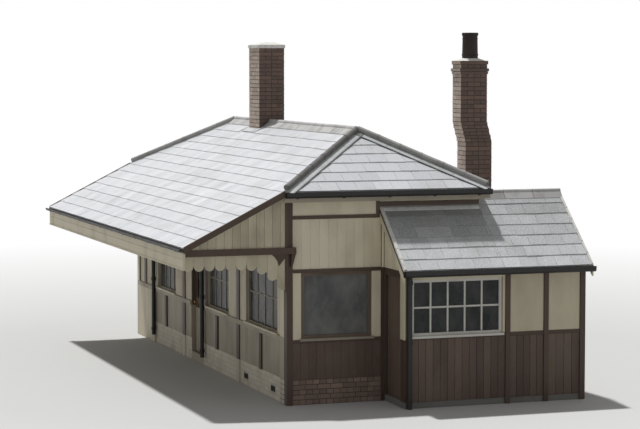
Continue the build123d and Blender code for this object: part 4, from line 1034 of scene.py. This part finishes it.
# Mouldings along the canopy fascia, and a painted face on the other eaves' fascias
fascia_face = Face((0, -canopy_y, 0), X, Z)
fascia_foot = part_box("fascia_boards")[0].z
foot_bead, top_bead = (0.0, 0.03, 0.010), (0.155, 0.167, 0.006)
with Pile("canopy_fascia_beads", 93, "cream_paint", "light_trim") as pile:
    for v0, v1, out in (foot_bead, top_bead):
        pile.plate(fascia_face, -eave_x, eave_x, fascia_foot + v0, fascia_foot + v1, out, 0.3, trim_edge)
gutter_drop, eave_gutter, canopy_gutter = 0.008, (0.110, 0.090), (0.075, 0.050)
eaves = [(Face((eave_x, 0, 0), Y, Z), -eave_y, eave_y), (Face((-eave_x, 0, 0), -Y, Z), -eave_y, eave_y),
         (Face((0, eave_y, 0), -X, Z), 0.02 - annex_back_eave_x, eave_x)]
with Pile("eaves_fascia_facing", 97, "stone_paint", "light_trim") as pile:
    eaves_foot = max(low.z for low, high in islands("fascia_boards"))
    for face, u0, u1 in eaves:
        pile.plate(face, u0, u1, eaves_foot, eave_z - gutter_drop - eave_gutter[1] - 0.002, 0.003, 0.7)

# Windows: fine sashes in place of the plain frames, but for the end windows. Their bars lie just in
# front of the glass
setback, frame_depth, glass_front, glass_thick = 0.02, 0.08, 0.058, 0.006
bar_back, bar_out = -glass_front - 0.001, 0.012 - glass_front


def sash(pile, face, u0, u1, v0, v1, rim, bar, lights, tone):
    """A fixed window frame on a wall's plane, with bars that divide it into two rows of lights."""
    left, right, foot, top = u0 + rim, u1 - rim, v0 + rim, v1 - rim
    for side in ((u0, left, v0, v1), (right, u1, v0, v1), (left, right, v0, foot), (left, right, top, v1)):
        pile.plate(face, *side, -setback, tone, 0.004, -setback - frame_depth)
    uprights = [(u - bar / 2, u + bar / 2) for u in evenly(left, right, lights + 1)[1:-1]]
    for a, b in uprights:
        pile.plate(face, a, b, foot, top, bar_out, tone, trim_edge, bar_back)
    middle = (foot + top) / 2
    for a, b in spans(left, right, uprights):
        pile.plate(face, a, b, middle - bar / 2, middle + bar / 2, bar_out - 0.001, tone, trim_edge, bar_back)


def glazed(wall, seed, face, frames, rim, bar, lights, paint, slot, glass, tone=0.4):
    """Sashes and panes for the windows of one wall, in place of the CAD's frames and glass. frames is
    the frames' node."""
    lap = rim - 0.003
    with (Pile(wall + "_window_panes", seed + 20, glass, "window_glass",
               replaced=wall + "_window_glass") as panes,
          Pile(wall + "_window_sashes", seed, paint, slot, replaced=frames) as sashes):
        for box in islands(frames):
            (u0, u1), v0, v1 = face.run(box), box[0].z, box[1].z
            sash(sashes, face, u0, u1, v0, v1, rim, bar, lights, tone)
            panes.plate(face, u0 + lap, u1 - lap, v0 + lap, v1 - lap, -glass_front,
                        back=-glass_front - glass_thick)


for wall, seed, face, lights in (("front", 101, front, 4), ("rear", 107, rear, 3)):
    glazed(wall, seed, face, wall + "_window_frames", 0.05, 0.024, lights, "sash_paint", "window_frames",
           "dusty_glass")
glazed("annex", 103, annex_front, "annex_window_frame", 0.045, 0.030, 5, "white_paint", "annex_window_frame",
       "dark_glass", 0.2)

# Sills under the windows
sill_back, sill_edge = -0.02, 0.004
with Pile("window_sills", 104, "cream_paint", "window_frames") as pile:
    for face, runs in ((front, front_windows), (rear, rear_windows)):
        for a, b in widened(runs, 0.03):
            pile.plate(face, a, b, sill_z - 0.012, sill_z + 0.022, proud + 0.022, 0.1, sill_edge, sill_back)
with Pile("end_window_sills", 105, "sash_paint", "window_frames") as pile:
    for face in (near_end, far_end):
        for a, b in widened([face.run(end_window)], 0.03):
            pile.plate(face, a, b, end_sill - 0.02, end_sill + 0.018, proud + 0.03, 0.2, sill_edge, sill_back)
with Pile("annex_window_sill", 106, "white_paint", "annex_window_frame") as pile:
    for a, b in widened([annex_window], 0.02):
        pile.plate(annex_front, a, b, annex_frame_z0 - 0.035, annex_frame_z0 + 0.004, 0.045, 0.2, sill_edge,
                   sill_back)


# Gutter brackets and downpipe collars
strap_half, strap_depth, leg_thick = 0.010, 0.008, 0.006


def bracket(pile, face, u, top, gutter):
    """A strap under a gutter, with its leg on the board behind."""
    width, height = gutter
    left, right, foot = u - strap_half, u + strap_half, top - height
    pile.plate(face, left, right, foot - strap_depth, foot - 0.001, width * 0.7, 0.4)
    pile.plate(face, left, right, foot - 0.020, foot - strap_depth, leg_thick, 0.4)


with Pile("gutter_brackets", 111, "black_iron", "gutter_iron") as pile:
    for u in evenly(0.3 - eave_x, eave_x - 0.3, 12):
        bracket(pile, fascia_face, u, roof_z(canopy_y) - gutter_drop, canopy_gutter)
    for (face, start, end), count in zip(eaves, (5, 5, 9)):
        for u in evenly(start + 0.2, end - 0.2, count):
            bracket(pile, face, u, eave_z - gutter_drop, eave_gutter)

with Pile("downpipe_collars", 112, "black_iron", "gutter_iron") as pile:
    for low, high in islands("downpipes"):
        radius = min((high - low).xy) / 2
        for z in (low.z + 0.12, (low.z + high.z) / 2, high.z - 0.1):
            pile.ring((low + high) / 2, ((radius - 0.004, z - 0.03), (radius + 0.008, z - 0.03),
                                         (radius + 0.010, z + 0.03), (radius - 0.004, z + 0.03)), sides=20)

# Door furniture, and the boards of the doors
leaf_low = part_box("platform_door")[0]
door_face = Face((0, -side_y + 0.075, 0), X, Z)
knob_x, knob_z = leaf_low.x + 0.055, 1.06
with Pile("platform_door_knob", 121, "worn_brass", "hinge_iron", "platform_door_leaf") as pile:
    pile.plate(door_face, knob_x - 0.024, knob_x + 0.024, knob_z - 0.09, knob_z + 0.09, 0.004, 0.4, 0.002)
    for n0, n1, r0, r1 in ((0.004, 0.022, 0.012, 0.010), (0.022, 0.030, 0.012, 0.026),
                           (0.030, 0.044, 0.026, 0.027), (0.044, 0.052, 0.027, 0.016)):
        pile.tube(door_face.at(knob_x, knob_z, n0), door_face.at(knob_x, knob_z, n1), r0, 20, 0.4, r1)
with Pile("platform_door_boards", 124, "stone_paint", "door_paint", "platform_door_leaf") as pile:
    pile.boards(door_face, widened([door_run], -door_gap), leaf_low.z + 0.004, knob_z - 0.095, width=0.12,
                depth=0.005, gap=0.003, edge=0.0015)

leaf_low, leaf_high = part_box("annex_door")
annex_door_face = Face((0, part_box("annex_side_wall")[1].y - lining_depth, 0), X, Z)
latch_x = leaf_high.x - 0.07
with Pile("annex_door_latch", 122, "black_iron", "hinge_iron", "annex_door_leaf") as pile:
    pile.plate(annex_door_face, latch_x - 0.018, latch_x + 0.018, 1.0, 1.16, 0.016, 0.4, 0.003)
    pile.plate(annex_door_face, latch_x - 0.05, latch_x + 0.03, 1.08, 1.10, 0.026, 0.4, 0.002, 0.016)
with Pile("annex_door_boards", 123, "dado_paint", "door_paint", "annex_door_leaf") as pile:
    pile.boards(annex_door_face, [annex_door_run], leaf_low.z + 0.004, leaf_high.z - 0.004, depth=0.010,
                inset=0.008)

# Floor, light and camera
floor_half, fade_start, fade_end = 60.0, 7.0, 26.0
floor_mesh = bmesh.new()
bmesh.ops.create_grid(floor_mesh, x_segments=2, y_segments=2, size=floor_half)
floor_data = bpy.data.meshes.new("studio_floor")
floor_mesh.to_mesh(floor_data)
floor_mesh.free()
floor = bpy.data.objects.new("studio_floor", floor_data)
floor.location.z = -0.002
bpy.context.scene.collection.objects.link(floor)


def seen(graph):
    """One where a camera, glossy or see-through ray meets the surface, and nought elsewhere."""
    path = graph.tree.nodes.new("ShaderNodeLightPath").outputs
    most = path["Is Camera Ray"]
    for other in ("Is Glossy Ray", "Is Transmission Ray"):
        most = graph.node("Math", {0: most, 1: path[other]}, operation="MAXIMUM")
    return most


graph = Graph(bpy.data.materials.new("studio_floor_paint"))
bounce_grey, pale_grey = (0.47, 0.47, 0.46), (0.62, 0.62, 0.61)
graph.paint(Base_Color=graph.mixed(seen(graph), bounce_grey, pale_grey), Roughness=0.9,
            Specular_IOR_Level=0.1)
distance = graph.node("VectorMath", {0: graph.node("TexCoord", {}, "Object")}, "Value", operation="LENGTH")
fade = graph.spread(distance, fade_start, fade_end)
both = graph.node("Math", {0: fade, 1: seen(graph)}, operation="MULTIPLY")
blend = graph.node("MixShader", {"Fac": both, 1: graph.shader.outputs["BSDF"], 2: graph.node("Emission", {})})
graph.put(graph.tree.nodes["Material Output"].inputs["Surface"], blend)
floor_data.materials.append(graph.owner)

fill_strength = 0.27
world = bpy.data.worlds.new("studio")
bpy.context.scene.world = world
graph = Graph(world)
backdrop = graph.tree.nodes["Background"].inputs
graph.put(backdrop["Color"], (1, 1, 1, 1))
graph.put(backdrop["Strength"], graph.spread(seen(graph), 0.0, 1.0, fill_strength, 1.0))

towards_sun = Vector((-0.38, -0.10, 1.0))
sun_data = bpy.data.lights.new("sun", "SUN")
sun_data.energy = 2.9
sun_data.angle = radians(2.5)
sun = bpy.data.objects.new("sun", sun_data)
sun.rotation_euler = towards_sun.to_track_quat("Z", "Y").to_euler()
bpy.context.scene.collection.objects.link(sun)

camera_place = Vector((36.184, -12.046, 5.431))
camera_aim = Vector((1.0, 0.206, 2.744))
camera_data = bpy.data.cameras.new("camera")
camera_data.sensor_width = 36.0
camera_data.lens = 118.5
camera_data.clip_end = 300.0
camera = bpy.data.objects.new("camera", camera_data)
camera.location = camera_place
camera.rotation_euler = (camera_aim - camera_place).to_track_quat("-Z", "Y").to_euler()
bpy.context.scene.collection.objects.link(camera)
bpy.context.scene.camera = camera
bpy.context.scene.view_settings.view_transform = "Standard"

bpy.context.view_layer.update()
